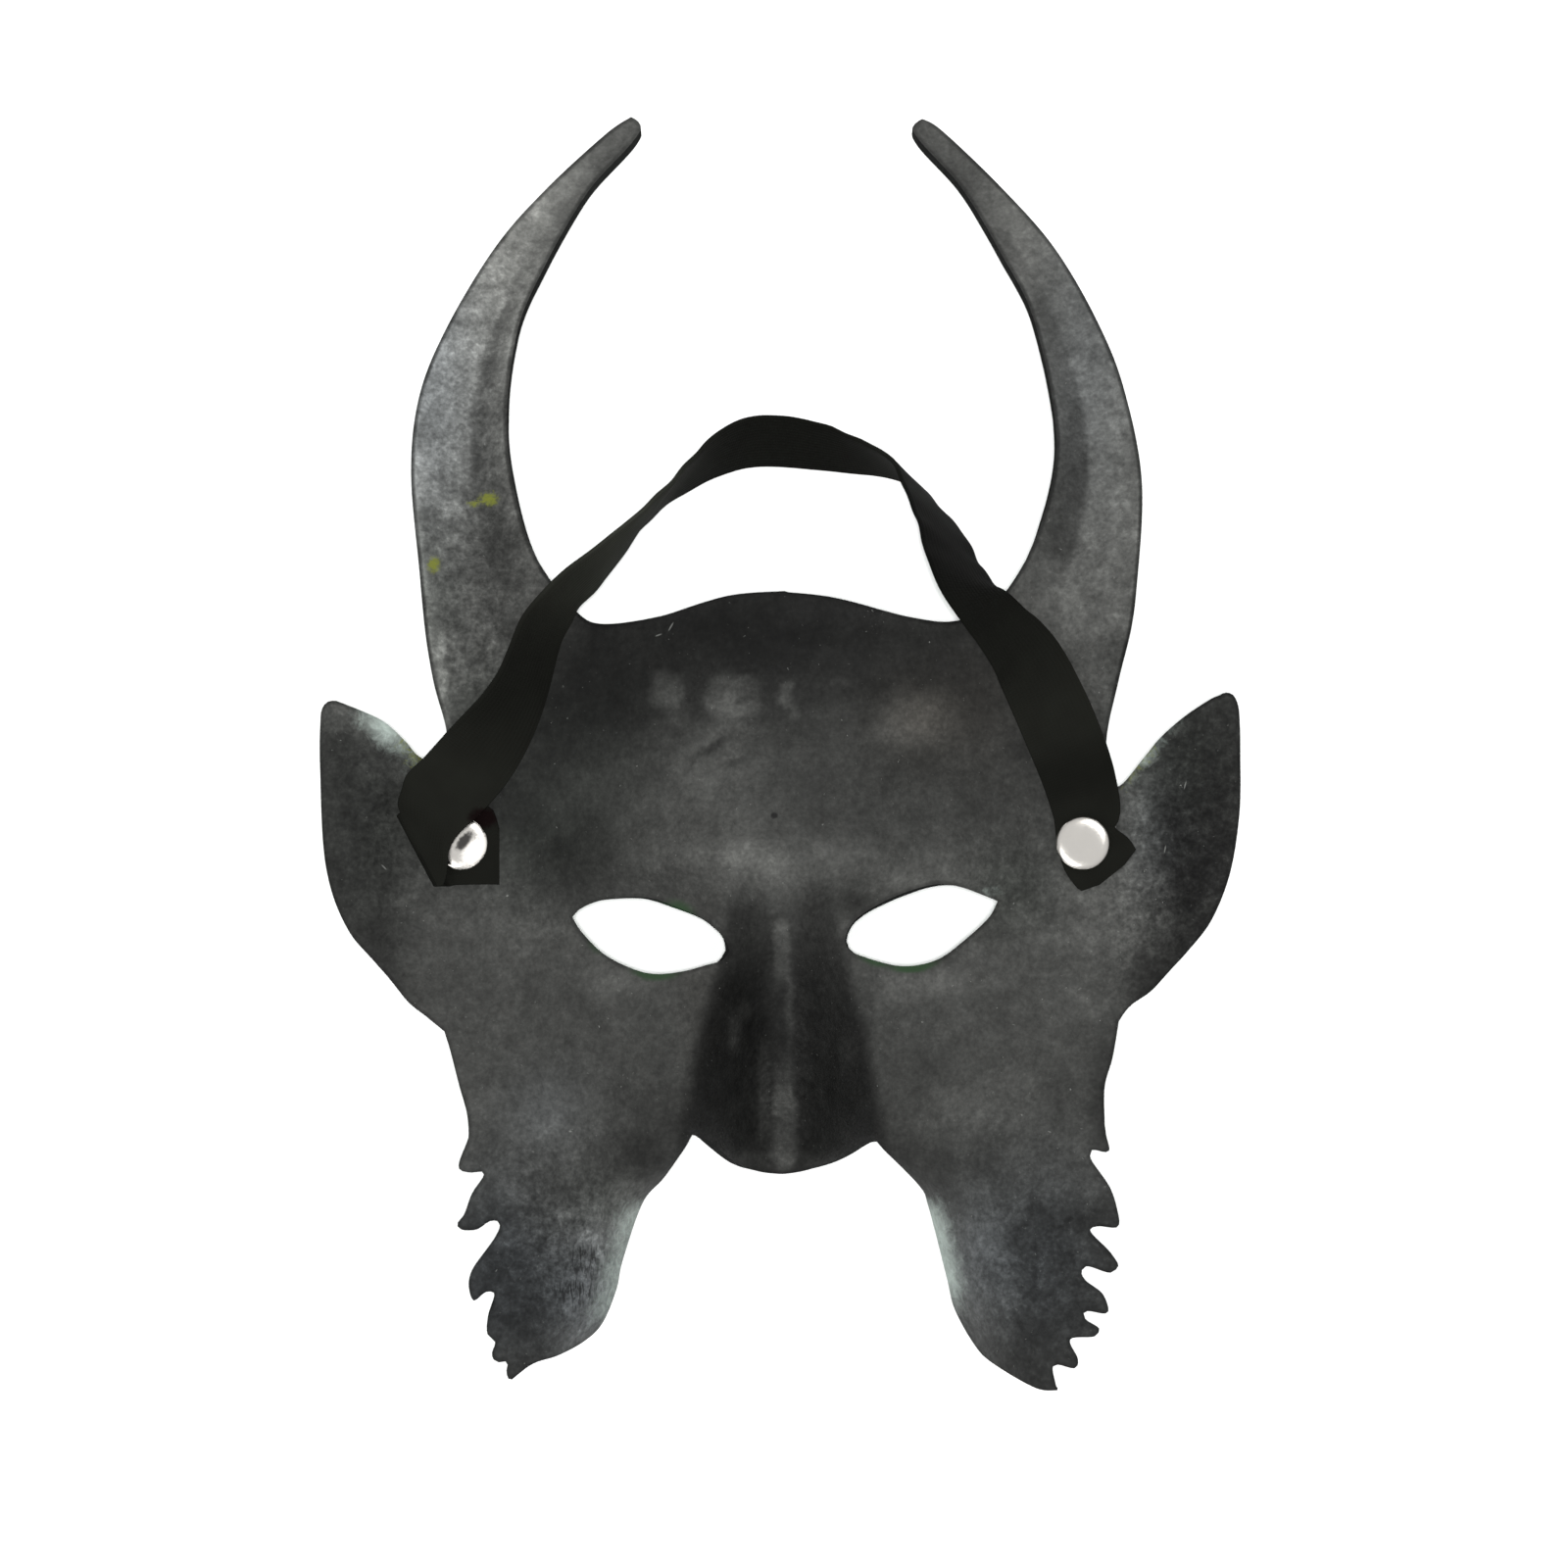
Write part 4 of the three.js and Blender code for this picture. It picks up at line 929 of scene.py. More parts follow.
# %% Keep the dye, the paint and the painted light and shade on the mesh
EYE_PAINT = [       # place and reach of green paint by the eyes, how wide it is and how strong
    ((-25.5, -40), (4, 4), 3.4, 0.9), ((-31.5, -55), (6, 3), 2.2, 1.0), ((-46.3, -48.5), (3, 3), 2.0, 0.5),
    ((33, -52.5), (6, 5), 2.4, 1.1), ((24, -51.5), (5, 4), 1.8, 0.8)]
# Pale sheen painted by the upper eye rims, where the leather turns away.
SHEEN_BY_EYES = [(52.5, -34.5, 3.4, 1.6, 0.55), (-16, -43, 3, 1.6, 0.3)]
LIME_DABS = [((-72.8, 63.4), (3.0, 2.2)), ((-76.6, 62.2), (2.6, 0.9)), ((-86.6, 47), (2.0, 2.6))]
CLOTH_PRINTS = [(-48, -126.5, 4.6, 3.4, 1), (-50.5, -134.5, 5.6, 3.2, 1)]      # weave pressed into wet dye


def edge_strip(side, name, reach):
    """How near each point is to one stretch of the outline: 1 on it, and 0 beyond reach."""
    return 1 - smooth(distance_to(search_tree(stretch(side, name)), kept), 0, reach)


def dye_and_shade_depth():
    """Stops of dye and of painted light and shade over the whole back."""
    u = np.abs(x)
    outer, inner = horn_edges(LEFT, y)
    stops = np.where(x < 0, side_dye_and_shade(u, y, LEFT, 0), side_dye_and_shade(u, y, RIGHT, 1)) + middle_dye_and_shade(x, y)
    stops += 1.1 * (x < 0) * (1 - smooth((outer - u) / 20, 0, 0.22)) * window(y, 0, 10, 60, 80)
    stops += marked(DYE_AND_SHADE_MARKS, x, y) + dabbed_and_highlighted(x, y)
    # Each crease is darkened by painted shade in it, with a painted highlight on its lip beside it.
    for start, end, width, sag in WRINKLES:
        stops += 0.3 * crease(x, y, shifted(start, (-0.8, 1.4)), shifted(end, (-0.8, 1.4)), 1.0, sag)
        stops -= 0.7 * crease(x, y, start, end, width, sag)
    # Darker within about a millimetre of the cut line, and more on the horns: painted shade where the rounded
    # edge turns away.
    on_horn = smooth(y, 6, 20) * smooth(u, 30, 48) * (1 - 0.4 * smooth(y, 105, 125))
    on_horn *= (0.75 + 0.25 * smooth(u - (outer + inner) / 2, -3, 3)) * (1 + 0.6 * uneven(x, y, 7, 8))
    return stops - 0.6 * (1 - smooth(rim, 0.3, 1.1)) - 1.5 * on_horn * (1 - smooth(rim, 0.3, 1.0))


def paint_and_sheen_of_edges():
    """Shares of painted pale sheen, of yellow-green paint and of green paint at the eye rims."""
    # Pale sheen painted along the mouth edge of each lobe and on top of each ear, where the leather turns
    # away.
    left_lobe = 0.8 * edge_strip(LEFT, "lobe_inner", 10) * window(y, -153, -134, -116, -107)
    right_lobe = 1.05 * edge_strip(RIGHT, "lobe_inner", 8) * window(y, -146, -130, -117, -106)
    left_ear, right_ear = edge_strip(LEFT, "ear_top", 10), edge_strip(RIGHT, "ear_top", 5.5)
    left_sheen = left_ear * (0.5 + 0.65 * spot(x, y, (-99.5, 5), (5.5, 6))) * smooth(x, -113, -104)
    right_sheen = 0.38 * smooth(x, 84, 87) + 0.4 * spot(x, y, (92, -1.5), 4.5)
    right_sheen = right_ear * right_sheen * (1 - smooth(x, 97, 107))
    pale_sheen = np.maximum.reduce([left_lobe, right_lobe, 0.95 * left_sheen, 0.95 * right_sheen,
                              marked(SHEEN_BY_EYES, x, y)])
    streaks = [0.6 * left_ear * smooth(x, -102, -93), 0.58 * right_ear * window(x, 83, 86, 92, 100)]
    lime = np.maximum.reduce(streaks + [1.15 * spot(x, y, at, reach) for at, reach in LIME_DABS])
    eyes = np.maximum.reduce([amount * spot(x, y, at, reach) * (1 - smooth(rim, 0.4 * wide, wide))
                              for at, reach, wide, amount in EYE_PAINT])
    return {"pale_sheen": pale_sheen, "lime": lime, "eye_edge": eyes}


values_of_dye_and_painted_light = {"stops": dye_and_shade_depth(), **paint_and_sheen_of_edges(), "cloth": marked(CLOTH_PRINTS, x, y),
                 "grit": 1 + marked(GRIT, x, y)}
for name, marks in TINTS.items():
    values_of_dye_and_painted_light[name] = np.clip(marked(marks, x, y), 0, 1)
for name, values in values_of_dye_and_painted_light.items():
    attribute = shell.data.attributes.new(name, "FLOAT", "POINT")
    attribute.data.foreach_set("value", values.astype(np.float32))

solidify = shell.modifiers.new("thickness", "SOLIDIFY")
solidify.thickness = LEATHER_THICKNESS * MM
solidify.offset = -1
solidify.vertex_group = "thickness"
solidify.use_quality_normals = True
solidify.material_offset = 1
solidify.material_offset_rim = 2
for name in ("dyed_back", "painted_front", "cut_edge"):
    shell.data.materials.append(bpy.data.materials.new(name))
only(shell)
bpy.ops.object.modifier_apply(modifier="thickness")
for v in shell.data.vertices:
    v.co.z = max(v.co.z, 0)
bpy.ops.object.shade_smooth_by_angle(angle=math.radians(38))
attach(shell, ROOT)
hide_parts("mask_shell")
lowest = min(v.co.z for v in shell.data.vertices)
print("leather:", len(shell.data.polygons), "faces, lowest point", round(lowest / MM, 2), "mm")

# %% [markdown]
# ## Rivets
#
# Each rivet is a nickelled cap with a flat middle, a post through strap and leather, and a smaller head in
# front. It is turned, so every section is a circle. It starts as a thin disc, and its faces are inset and
# raised ring by ring, which gives the rounded shoulder, and then the underside is inset and drawn out
# into the post and the front head.

# %% Turn a rivet
RIVET_SIDES = 96
CAP_HEIGHT = 1.9
CAP_PROFILE = [(6.75, 0.5), (6.65, 0.85), (6.4, 1.15), (6, 1.38), (5.4, 1.58), (4.6, 1.73), (3.7, 1.83),
               (2.7, 1.88), (1.6, CAP_HEIGHT)]      # radius and height
CAP_RIM = 0.4
POST_RADIUS = 2
HEAD_PROFILE = [(5, 0.5), (4.8, 0.8), (4.3, 1.02), (3.5, 1.15), (2.4, 1.2)]


def pick_face(obj, highest):
    """Selects the highest or the lowest level face, in edit mode."""
    bpy.ops.mesh.select_all(action="DESELECT")
    bpy.ops.object.mode_set(mode="OBJECT")
    flat = [f for f in obj.data.polygons if abs(f.normal.z) > 0.9 and len(f.vertices) == RIVET_SIDES]
    chosen = (max if highest else min)(flat, key=lambda f: f.center.z)
    chosen.select = True
    bpy.ops.object.mode_set(mode="EDIT")
    bpy.ops.mesh.select_mode(type="FACE")


def inset_rings(rings, direction):
    """Insets the chosen face ring by ring to each (radius, height), raised in this direction."""
    for (radius, level), (next_radius, next_level) in zip(rings, rings[1:]):
        bpy.ops.mesh.inset(thickness=(radius - next_radius) * MM)
        bpy.ops.transform.translate(value=(0, 0, direction * (next_level - level) * MM))


def rivet(name, node_name):
    """One rivet, as tall as the frame's and in its place."""
    low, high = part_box(node_name)
    at = ((low.x + high.x) / 2, (low.y + high.y) / 2)
    seat = high.z - CAP_HEIGHT * MM
    edge = CAP_PROFILE[0][1] * MM
    bpy.ops.object.select_all(action="DESELECT")
    bpy.ops.mesh.primitive_cylinder_add(vertices=RIVET_SIDES, radius=CAP_PROFILE[0][0] * MM, depth=edge,
                                        location=(*at, seat + edge / 2))
    made = bpy.context.object
    made.name = made.data.name = name
    bpy.ops.object.transform_apply(location=True, rotation=True, scale=True)
    bpy.ops.object.mode_set(mode="EDIT")
    pick_face(made, True)
    inset_rings(CAP_PROFILE, 1)
    pick_face(made, False)
    bpy.ops.mesh.inset(thickness=CAP_RIM * MM)
    bpy.ops.mesh.inset(thickness=(CAP_PROFILE[0][0] - CAP_RIM - POST_RADIUS) * MM)
    head_seat = low.z + HEAD_PROFILE[-1][1] * MM
    bpy.ops.mesh.extrude_region_move(TRANSFORM_OT_translate={"value": (0, 0, head_seat - seat)})
    bpy.ops.mesh.extrude_region_move(TRANSFORM_OT_translate={"value": (0, 0, 0)})
    wider = HEAD_PROFILE[0][0] / POST_RADIUS
    bpy.ops.transform.resize(value=(wider, wider, 1), center_override=(*at, head_seat))
    bpy.ops.mesh.extrude_region_move(TRANSFORM_OT_translate={"value": (0, 0, -HEAD_PROFILE[0][1] * MM)})
    inset_rings(HEAD_PROFILE, -1)
    face_outwards(35)
    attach(made, ROOT)
    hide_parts(node_name)
    top = max(v.co.z for v in made.data.vertices)
    bottom = min(v.co.z for v in made.data.vertices)
    print(name, len(made.data.polygons), "faces,", round((top - bottom) / MM, 2), "mm tall; the frame's is",
          round((high.z - low.z) / MM, 2))
    return made


rivets = [rivet("rivet_of_left_temple", "rivet_left"), rivet("rivet_of_right_temple", "rivet_right")]

# %% [markdown]
# ## Node helpers
#
# Finishes are built from nodes. These helpers add a node with its sockets set in one line, so each
# finish reads as a recipe.

# %% Helpers for nodes
def fill(tree, node, inputs):
    """The node, with its sockets set to values or linked from other sockets."""
    for key, value in inputs.items():
        if isinstance(value, bpy.types.NodeSocket):
            tree.links.new(value, node.inputs[key])
        else:
            node.inputs[key].default_value = value
    return node


def add(tree, kind, inputs=(), **settings):
    """A new shader node with these settings and inputs."""
    made = tree.nodes.new("ShaderNode" + kind)
    for name, value in settings.items():
        setattr(made, name, value)
    return fill(tree, made, dict(inputs))


def calc(tree, operation, *values, clamp=False):
    """The result of a Math node on sockets or numbers."""
    return add(tree, "Math", dict(enumerate(values)), operation=operation, use_clamp=clamp).outputs[0]


def between(tree, value, start, end, low=0.0, high=1.0):
    """A soft step of a value: low before start, high after end."""
    inputs = {"Value": value, "From Min": start, "From Max": end, "To Min": low, "To Max": high}
    return add(tree, "MapRange", inputs, interpolation_type="SMOOTHSTEP").outputs["Result"]


def blend_colours(tree, factor, first, second, blend="MIX"):
    """The result of a colour Mix node."""
    return add(tree, "Mix", {0: factor, 6: first, 7: second}, data_type="RGBA", blend_type=blend).outputs[2]


def read(tree, name):
    """A named value of the mesh."""
    return add(tree, "Attribute", attribute_name=name).outputs["Fac"]


def place(tree):
    return add(tree, "TexCoord").outputs["Object"]


def new_group(name, inputs, outputs):
    """An empty node group with named number sockets, and its input and output nodes."""
    tree = bpy.data.node_groups.new(name, "ShaderNodeTree")
    for name_in, value in inputs.items():
        socket = tree.interface.new_socket(name=name_in, in_out="INPUT", socket_type="NodeSocketFloat")
        socket.default_value = value
    for name_out in outputs:
        tree.interface.new_socket(name=name_out, in_out="OUTPUT", socket_type="NodeSocketFloat")
    return tree, tree.nodes.new("NodeGroupInput").outputs, tree.nodes.new("NodeGroupOutput").inputs


def use(tree, group, **inputs):
    """The only output of a node group placed in a material with these values."""
    return add(tree, "Group", inputs, node_tree=group).outputs[0]


def noise_at(tree, size_mm, detail, rough=0.5, offset=0.0, distortion=0.0):
    """Noise on the piece's own coordinates, with spots of about this size."""
    where = add(tree, "Mapping", {"Vector": place(tree), "Location": (offset, offset * 0.7, offset * 0.3)})
    inputs = {"Vector": where.outputs[0], "Scale": 1 / (size_mm * MM), "Detail": detail, "Roughness": rough,
              "Distortion": distortion}
    return add(tree, "TexNoise", inputs).outputs["Fac"]


def wander(tree, amount, *settings):
    """Noise with these settings, spread evenly to either side of 0."""
    return calc(tree, "MULTIPLY", calc(tree, "SUBTRACT", noise_at(tree, *settings), 0.5), amount)


def stretched_noise(tree, turn, scale, **settings):
    """Noise on the piece's own coordinates, turned and then scaled along each axis."""
    where = add(tree, "Mapping", {"Vector": place(tree), "Rotation": (0, 0, turn), "Scale": scale}).outputs[0]
    return add(tree, "TexNoise", {"Vector": where, **settings}).outputs["Fac"]


def near_place(tree, at, reach, turn=0.0, ragged=0.3):
    """1 near one place seen from above, 0 beyond its reach in millimetres, turned in degrees and ragged."""
    inputs = {"Vector": place(tree), "Location": (at[0] * MM, at[1] * MM, 0),
              "Rotation": (0, 0, math.radians(turn)), "Scale": (reach[0] * MM, reach[1] * MM, 1000)}
    mapped = add(tree, "Mapping", inputs, vector_type="TEXTURE").outputs[0]
    away = add(tree, "VectorMath", {0: mapped}, operation="LENGTH").outputs["Value"]
    if ragged:
        away = calc(tree, "ADD", away, wander(tree, 2 * ragged, 1.4, 2, 0.6, 0.9, 1.0))
    return between(tree, away, 0.55, 1.2, 1.0, 0.0)


def finish_of(name, **settings):
    """A material with its node tree and its Principled shader, whose even values are set here."""
    material = bpy.data.materials.get(name) or bpy.data.materials.new(name)
    material.use_nodes = True
    shader = material.node_tree.nodes["Principled BSDF"]
    for key, value in settings.items():
        shader.inputs[key.replace("_", " ")].default_value = value
    return material, material.node_tree, shader


def link(tree, shader, **sockets):
    """Links each socket into the shader's input of that name."""
    for key, socket in sockets.items():
        tree.links.new(socket, shader.inputs[key.replace("_", " ")])


def bumps(tree, height, strength, distance=0.0002):
    """The normal of a surface with this relief."""
    inputs = {"Height": height, "Distance": distance, "Strength": strength}
    return add(tree, "Bump", inputs).outputs[0]


# %% [markdown]
# ## Shared effects
#
# Back, front and cut edge are one hide, so effects are made once. `grain` is the pebbled skin of leather,
# for the bump of back and front. `sponged dye` is the uneven depth of colour put on with a sponge, as a
# brightness to multiply a colour with, on all three. `flecks` are the fine light specks on the back, where
# the dye missed a pore or dust sits.

# %% Node groups for grain, dye and flecks
DYE_NOISES = [      # strength that it answers to, size, roughness, offset and swirl
    ("Clouds", 26.0, 0.6, 0.0, 0.0), ("Mottle", 7.0, 0.85, 1.3, 0.0), ("Speckle", 1.4, 0.75, 2.1, 0.15)]


def make_grain():
    tree, given, out = new_group("grain", {"Depth": 1.0}, ["Height"])
    pebbles = add(tree, "TexVoronoi", {"Vector": place(tree), "Scale": 900.0}).outputs["Distance"]
    fibres = noise_at(tree, 0.7, 4, 0.6)
    swell = noise_at(tree, 4.0, 2, 0.5, offset=3.0)
    height = calc(tree, "ADD", calc(tree, "MULTIPLY", pebbles, 0.35), calc(tree, "MULTIPLY", fibres, 0.6))
    height = calc(tree, "ADD", height, calc(tree, "MULTIPLY", swell, 1.2))
    tree.links.new(calc(tree, "MULTIPLY", height, given["Depth"]), out["Height"])
    return tree


def make_sponged_dye():
    tree, given, out = new_group("sponged dye", {"Stops": 0.0, "Clouds": 0.8, "Mottle": 0.6, "Speckle": 0.5},
                                 ["Brightness"])
    stops = given["Stops"]
    for strength, size, rough, offset, swirl in DYE_NOISES:
        spread = wander(tree, 4.0, size, 3.0, rough, offset, swirl)
        stops = calc(tree, "ADD", stops, calc(tree, "MULTIPLY", spread, given[strength]))
    tree.links.new(calc(tree, "POWER", 2.0, stops), out["Brightness"])
    return tree


def make_flecks():
    tree, given, out = new_group("flecks", {"Amount": 0.5}, ["Mask"])
    grains = between(tree, noise_at(tree, 0.9, 2.0, 0.6, 5.9, 0.6), 0.70, 0.80)
    strewn = between(tree, noise_at(tree, 9.0, 2.0, 0.5, 7.7), 0.42, 0.62, 0.25, 1.0)
    mask = calc(tree, "MULTIPLY", calc(tree, "MULTIPLY", grains, strewn), given["Amount"])
    tree.links.new(mask, out["Mask"])
    return tree


grain, sponged_dye, flecks = make_grain(), make_sponged_dye(), make_flecks()
print("shared effects:", [g.name for g in bpy.data.node_groups])

# %% [markdown]
# ## Finishes of the leather
#
# The back is dyed black and only lightly waxed. It looks grey where the dye is thin, as on the horns, and
# black in the nose, where the black is painted shade. Its colour also carries the painted light and
# shade kept on the mesh.

# %% The dyed back
DYE = (0.0348, 0.0353, 0.0332, 1)
COOL_DYE = (0.0325, 0.0352, 0.0368, 1)
BROWN_DYE = (0.0366, 0.0350, 0.0315, 1)
GREEN_DYE = (0.0332, 0.0357, 0.0322, 1)
FLECK = (0.30, 0.31, 0.29, 1)
PALE_SHEEN = (0.33, 0.385, 0.355, 1)
LIME_PAINT = (0.115, 0.128, 0.020, 1)
RIM_PAINT = (0.020, 0.040, 0.019, 1)
SCRATCHES = [       # place, half length and half width, and turn in degrees of the light scratches
    ((-27.4, 31.6), (1.3, 0.2), 60), ((-30.5, 29.5), (0.9, 0.18), 20), ((-99, -28.5), (0.9, 0.18), -45),
    ((-52.5, -94.5), (0.4, 0.25), 0), ((96, -24), (1.0, 0.18), 80), ((101, -8), (1.1, 0.18), 75)]
PRICK, PRICK_AT, PRICK_REACH = (0.009, 0.009, 0.009, 1), (-1.6, -15.6), (1.0, 0.9)

material, tree, shader = finish_of("dyed_back", IOR=1.45, Specular_IOR_Level=0.2)
colour = DYE
for name, tint in (("brown", BROWN_DYE), ("green", GREEN_DYE), ("cool", COOL_DYE)):
    colour = blend_colours(tree, read(tree, name), colour, tint)

threads = between(tree, stretched_noise(tree, -0.2, (1500, 330, 1), Scale=1.0, Detail=1.0), 0.52, 0.58)
printed = calc(tree, "MULTIPLY", calc(tree, "MULTIPLY", threads, read(tree, "cloth")), -2.0)
# These stops hold painted light and shade as well as dye: shade in the nose, at the top of the forehead, in
# creases and along edges, light on the outer horn faces and the lobes' mouth sides.
stops = calc(tree, "ADD", read(tree, "stops"), printed)
grit = read(tree, "grit")
mottle, speckle = (calc(tree, "MULTIPLY", grit, amount) for amount in (0.56, 0.42))
brightness = use(tree, sponged_dye, Stops=stops, Clouds=0.12, Mottle=mottle, Speckle=speckle)
colour = blend_colours(tree, 1.0, colour, brightness, "MULTIPLY")

colour = blend_colours(tree, use(tree, flecks, Amount=0.5), colour, FLECK)
colour = blend_colours(tree, near_place(tree, PRICK_AT, PRICK_REACH), colour, PRICK)
for at, reach, turn in SCRATCHES:
    scratch = calc(tree, "MULTIPLY", near_place(tree, at, reach, turn, ragged=0), 0.3)
    colour = blend_colours(tree, scratch, colour, FLECK)

ragged = wander(tree, 1.0, 3.0, 3, 0.8, 0.0, 1.0)
streaks = wander(tree, 1.4, 2.2, 4, 0.7, 1.7, 2.5)
# A pale sheen is painted on edges that turn away; the yellow-green streaks and the eye rims are paint.
pale_sheen_share = between(tree, calc(tree, "ADD", read(tree, "pale_sheen"), ragged), 0.2, 1.45)
smeared = between(tree, calc(tree, "ADD", read(tree, "lime"), streaks), 0.4, 1.1)
at_eyes = between(tree, read(tree, "eye_edge"), 0.1, 0.9)
for share, paint in ((pale_sheen_share, PALE_SHEEN), (smeared, LIME_PAINT), (at_eyes, RIM_PAINT)):
    colour = blend_colours(tree, share, colour, paint)

rough = between(tree, noise_at(tree, 9, 3, 0.6, 0.4), 0.3, 0.7, 0.5, 0.68)
relief_of_back = bumps(tree, use(tree, grain, Depth=1.0), 0.6)
link(tree, shader, Base_Color=colour, Roughness=rough, Normal=relief_of_back)

# %% The painted front
PAINT = (0.021, 0.080, 0.028, 1)
material, tree, shader = finish_of("painted_front", IOR=1.5, Roughness=0.42)
brightness = use(tree, sponged_dye, Stops=-0.1, Clouds=0.5, Mottle=0.5, Speckle=0.15)
colour = blend_colours(tree, 1.0, PAINT, brightness, "MULTIPLY")
link(tree, shader, Base_Color=colour, Normal=bumps(tree, use(tree, grain, Depth=0.6), 0.5))

# %% The cut edge
EDGE_DYE = (0.012, 0.0125, 0.012, 1)
EDGE_PAINT = (0.016, 0.045, 0.018, 1)
material, tree, shader = finish_of("cut_edge", IOR=1.45, Roughness=0.9, Specular_IOR_Level=0.02)
colour = blend_colours(tree, read(tree, "eye_edge"), EDGE_DYE, EDGE_PAINT)
brightness = use(tree, sponged_dye, Stops=0.0, Clouds=0.3, Mottle=0.3, Speckle=0.4)
colour = blend_colours(tree, 1.0, colour, brightness, "MULTIPLY")
link(tree, shader, Base_Color=colour, Normal=bumps(tree, noise_at(tree, 0.5, 3), 0.6))

# %% [markdown]
# ## Finish of the elastic
#
# Woven elastic has fine cords along its length, bound by threads that cross it. The pattern follows the
# band, so it reads the band's own UV map, whose unit is the band's width.

# %% The woven elastic
CORDS_ACROSS, PICKS_ALONG = 18, 26      # in one width of the band, and along as much of its length
BAND_DARK, BAND_LIGHT = (0.0058, 0.0060, 0.0049, 1), (0.0066, 0.0069, 0.0056, 1)
# A painted shadow, reddish black, darkens the tab where the free band lies over it.
BAND_SHADOW, BAND_SHADOW_AT, BAND_SHADOW_REACH = (0.0035, 0.0018, 0.0018, 1), (-74.2, -16.2), (4.2, 2.8)

material, tree, shader = finish_of("woven_elastic", Roughness=0.85, IOR=1.4, Specular_IOR_Level=0.06)
uv = add(tree, "UVMap", uv_map="weave").outputs[0]
split = add(tree, "SeparateXYZ", {"Vector": uv})
cords, picks = (calc(tree, "SINE", calc(tree, "MULTIPLY", split.outputs[axis], 2 * math.pi * count))
                for axis, count in enumerate((CORDS_ACROSS, PICKS_ALONG)))
fuzz = add(tree, "TexNoise", {"Vector": uv, "Scale": 60.0, "Detail": 3.0}).outputs["Fac"]
height = calc(tree, "ADD", calc(tree, "MULTIPLY", cords, 0.5), calc(tree, "MULTIPLY", picks, 0.3))
height = calc(tree, "ADD", height, calc(tree, "MULTIPLY", fuzz, 0.8))
uneven_light = add(tree, "TexNoise", {"Vector": uv, "Scale": 2.2, "Detail": 2.0}).outputs["Fac"]
light = between(tree, uneven_light, 0.3, 0.7)
colour = blend_colours(tree, light, BAND_DARK, BAND_LIGHT)
colour = blend_colours(tree, 1.0, colour, calc(tree, "POWER", 2.0, read(tree, "sheen")), "MULTIPLY")
colour = blend_colours(tree, near_place(tree, BAND_SHADOW_AT, BAND_SHADOW_REACH), colour, BAND_SHADOW)
link(tree, shader, Base_Color=colour, Normal=bumps(tree, height, 0.7, distance=0.0001))
strap.data.materials.append(material)

# %% [markdown]
# ## Finish of the rivets
#
# Nickelled brass that has been handled: bright, with fine scratches and a slightly dull film. The left
# cap, which the elastic rubs, is scuffed to a dull white on its open side, and a dark reflection of the
# band is painted on it beside the band.

# %% Nickelled metal
BRIGHT_NICKEL, DULL_NICKEL = (0.97, 0.94, 0.89, 1), (0.85, 0.815, 0.76, 1)
# A dark reflection of the band is painted on the left cap beside the band.
BAND_REFLECTION, BAND_REFLECTION_AT, BAND_REFLECTION_REACH = (0.11, 0.105, 0.10, 1), (-79.1, -22.1), (3.1, 1.4)
SCUFF_AT, SCUFF_REACH = (-76.2, -24.4), (5.6, 2.9)
BAND_SLANT = 50     # degrees, of the band's edge over the left cap

material, tree, shader = finish_of("nickel")
film = noise_at(tree, 2.5, 3, 0.6)
colour = blend_colours(tree, film, BRIGHT_NICKEL, DULL_NICKEL)
post = sum(corner.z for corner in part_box("rivet_left")) / 2
height = add(tree, "SeparateXYZ", {"Vector": place(tree)}).outputs["Z"]
on_cap = between(tree, height, post, post + 0.5 * MM)
band_reflected = calc(tree, "MULTIPLY", near_place(tree, BAND_REFLECTION_AT, BAND_REFLECTION_REACH, BAND_SLANT, ragged=0.4), on_cap)
colour = blend_colours(tree, band_reflected, colour, BAND_REFLECTION)
scuffed = calc(tree, "MULTIPLY", near_place(tree, SCUFF_AT, SCUFF_REACH, BAND_SLANT, ragged=0.5), on_cap)
rough = between(tree, film, 0.3, 0.75, 0.12, 0.26)
scratches = stretched_noise(tree, 0.6, (1, 14, 1), Scale=500.0, Detail=4.0)
link(tree, shader, Base_Color=colour, Roughness=rough, Normal=bumps(tree, scratches, 0.5, distance=0.00004),
     Metallic=between(tree, scuffed, 0.0, 1.0, 1.0, 0.4))
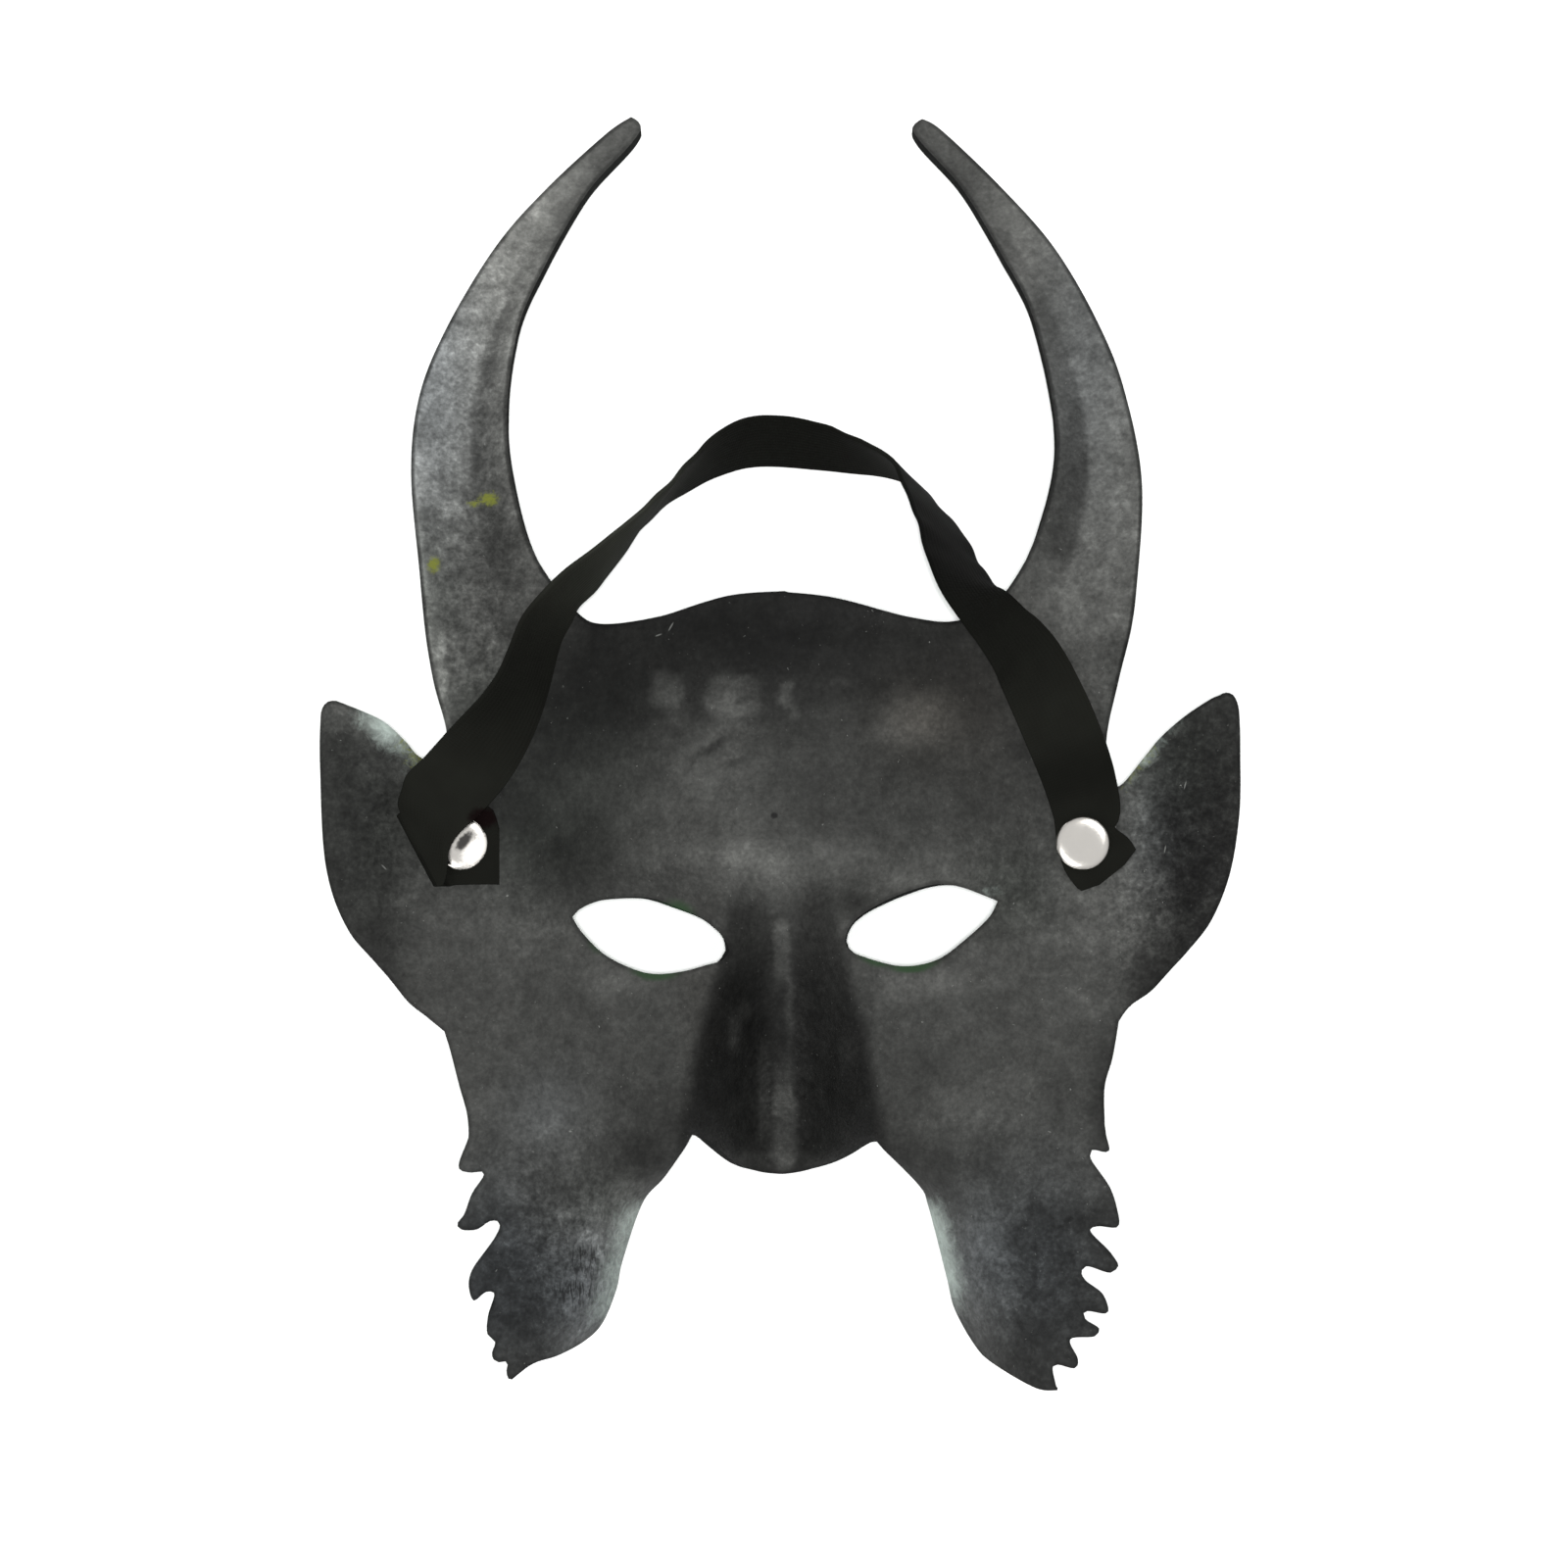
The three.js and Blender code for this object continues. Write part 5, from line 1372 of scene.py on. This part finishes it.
for piece in rivets:
    piece.data.materials.append(material)

# %% [markdown]
# ## Floor and light
#
# The mask lies on a plain pale floor. The photograph has almost no shadow, and the floor shows white
# through the eye holes, so most of the light falls straight down beside the camera, where each shadow
# hides under what casts it. An even pale sky fills the rest.

# %% Floor, sky and lamps
FLOOR_HALF = 3000
FLOOR_GREYS = (0.88, 0.88, 0.88, 1), (0.92, 0.92, 0.92, 1)

corners = [(right * FLOOR_HALF, up * FLOOR_HALF, 0) for right, up in ((-1, -1), (1, -1), (1, 1), (-1, 1))]
floor = mesh_object("floor", corners, [(0, 1, 2, 3)])
material, tree, shader = finish_of("pale_floor", Roughness=0.9)
shade = between(tree, noise_at(tree, 200, 2), 0.3, 0.7)
link(tree, shader, Base_Color=blend_colours(tree, shade, *FLOOR_GREYS))
floor.data.materials.append(material)

world = bpy.data.worlds.new("studio")
bpy.context.scene.world = world
world.use_nodes = True
sky = world.node_tree
height = add(sky, "SeparateXYZ", {"Vector": add(sky, "TexCoord").outputs["Generated"]}).outputs["Z"]
glow = between(sky, height, 0.0, 0.9, 0.35, 0.62)
sky.links.new(glow, sky.nodes["Background"].inputs["Color"])


def lamp(name, kind, strength, place_mm, aim_mm=(0, 0, 40), size_mm=100, softness=0):
    """A lamp at one place, aimed at another. A sun has a softness in degrees, a panel a size."""
    data = bpy.data.lights.new(name, kind)
    data.energy = strength
    if kind == "SUN":
        data.angle = math.radians(softness)
    else:
        data.size = size_mm * MM
    made = bpy.data.objects.new(name, data)
    made.location = Vector(place_mm) * MM
    made.rotation_euler = (Vector(aim_mm) - Vector(place_mm)).to_track_quat("-Z", "Y").to_euler()
    bpy.context.scene.collection.objects.link(made)
    return made


overhead = lamp("overhead", "SUN", 2.9, (0, 0, 1000), (0, 0, 0), softness=2)
overhead.visible_glossy = False
lamp("upper_right_panel", "AREA", 7, (700, 800, 1300), size_mm=1200)
lamp("lower_left_panel", "AREA", 7, (-700, -900, 1200), size_mm=1200)
bpy.context.scene.view_settings.view_transform = "Standard"
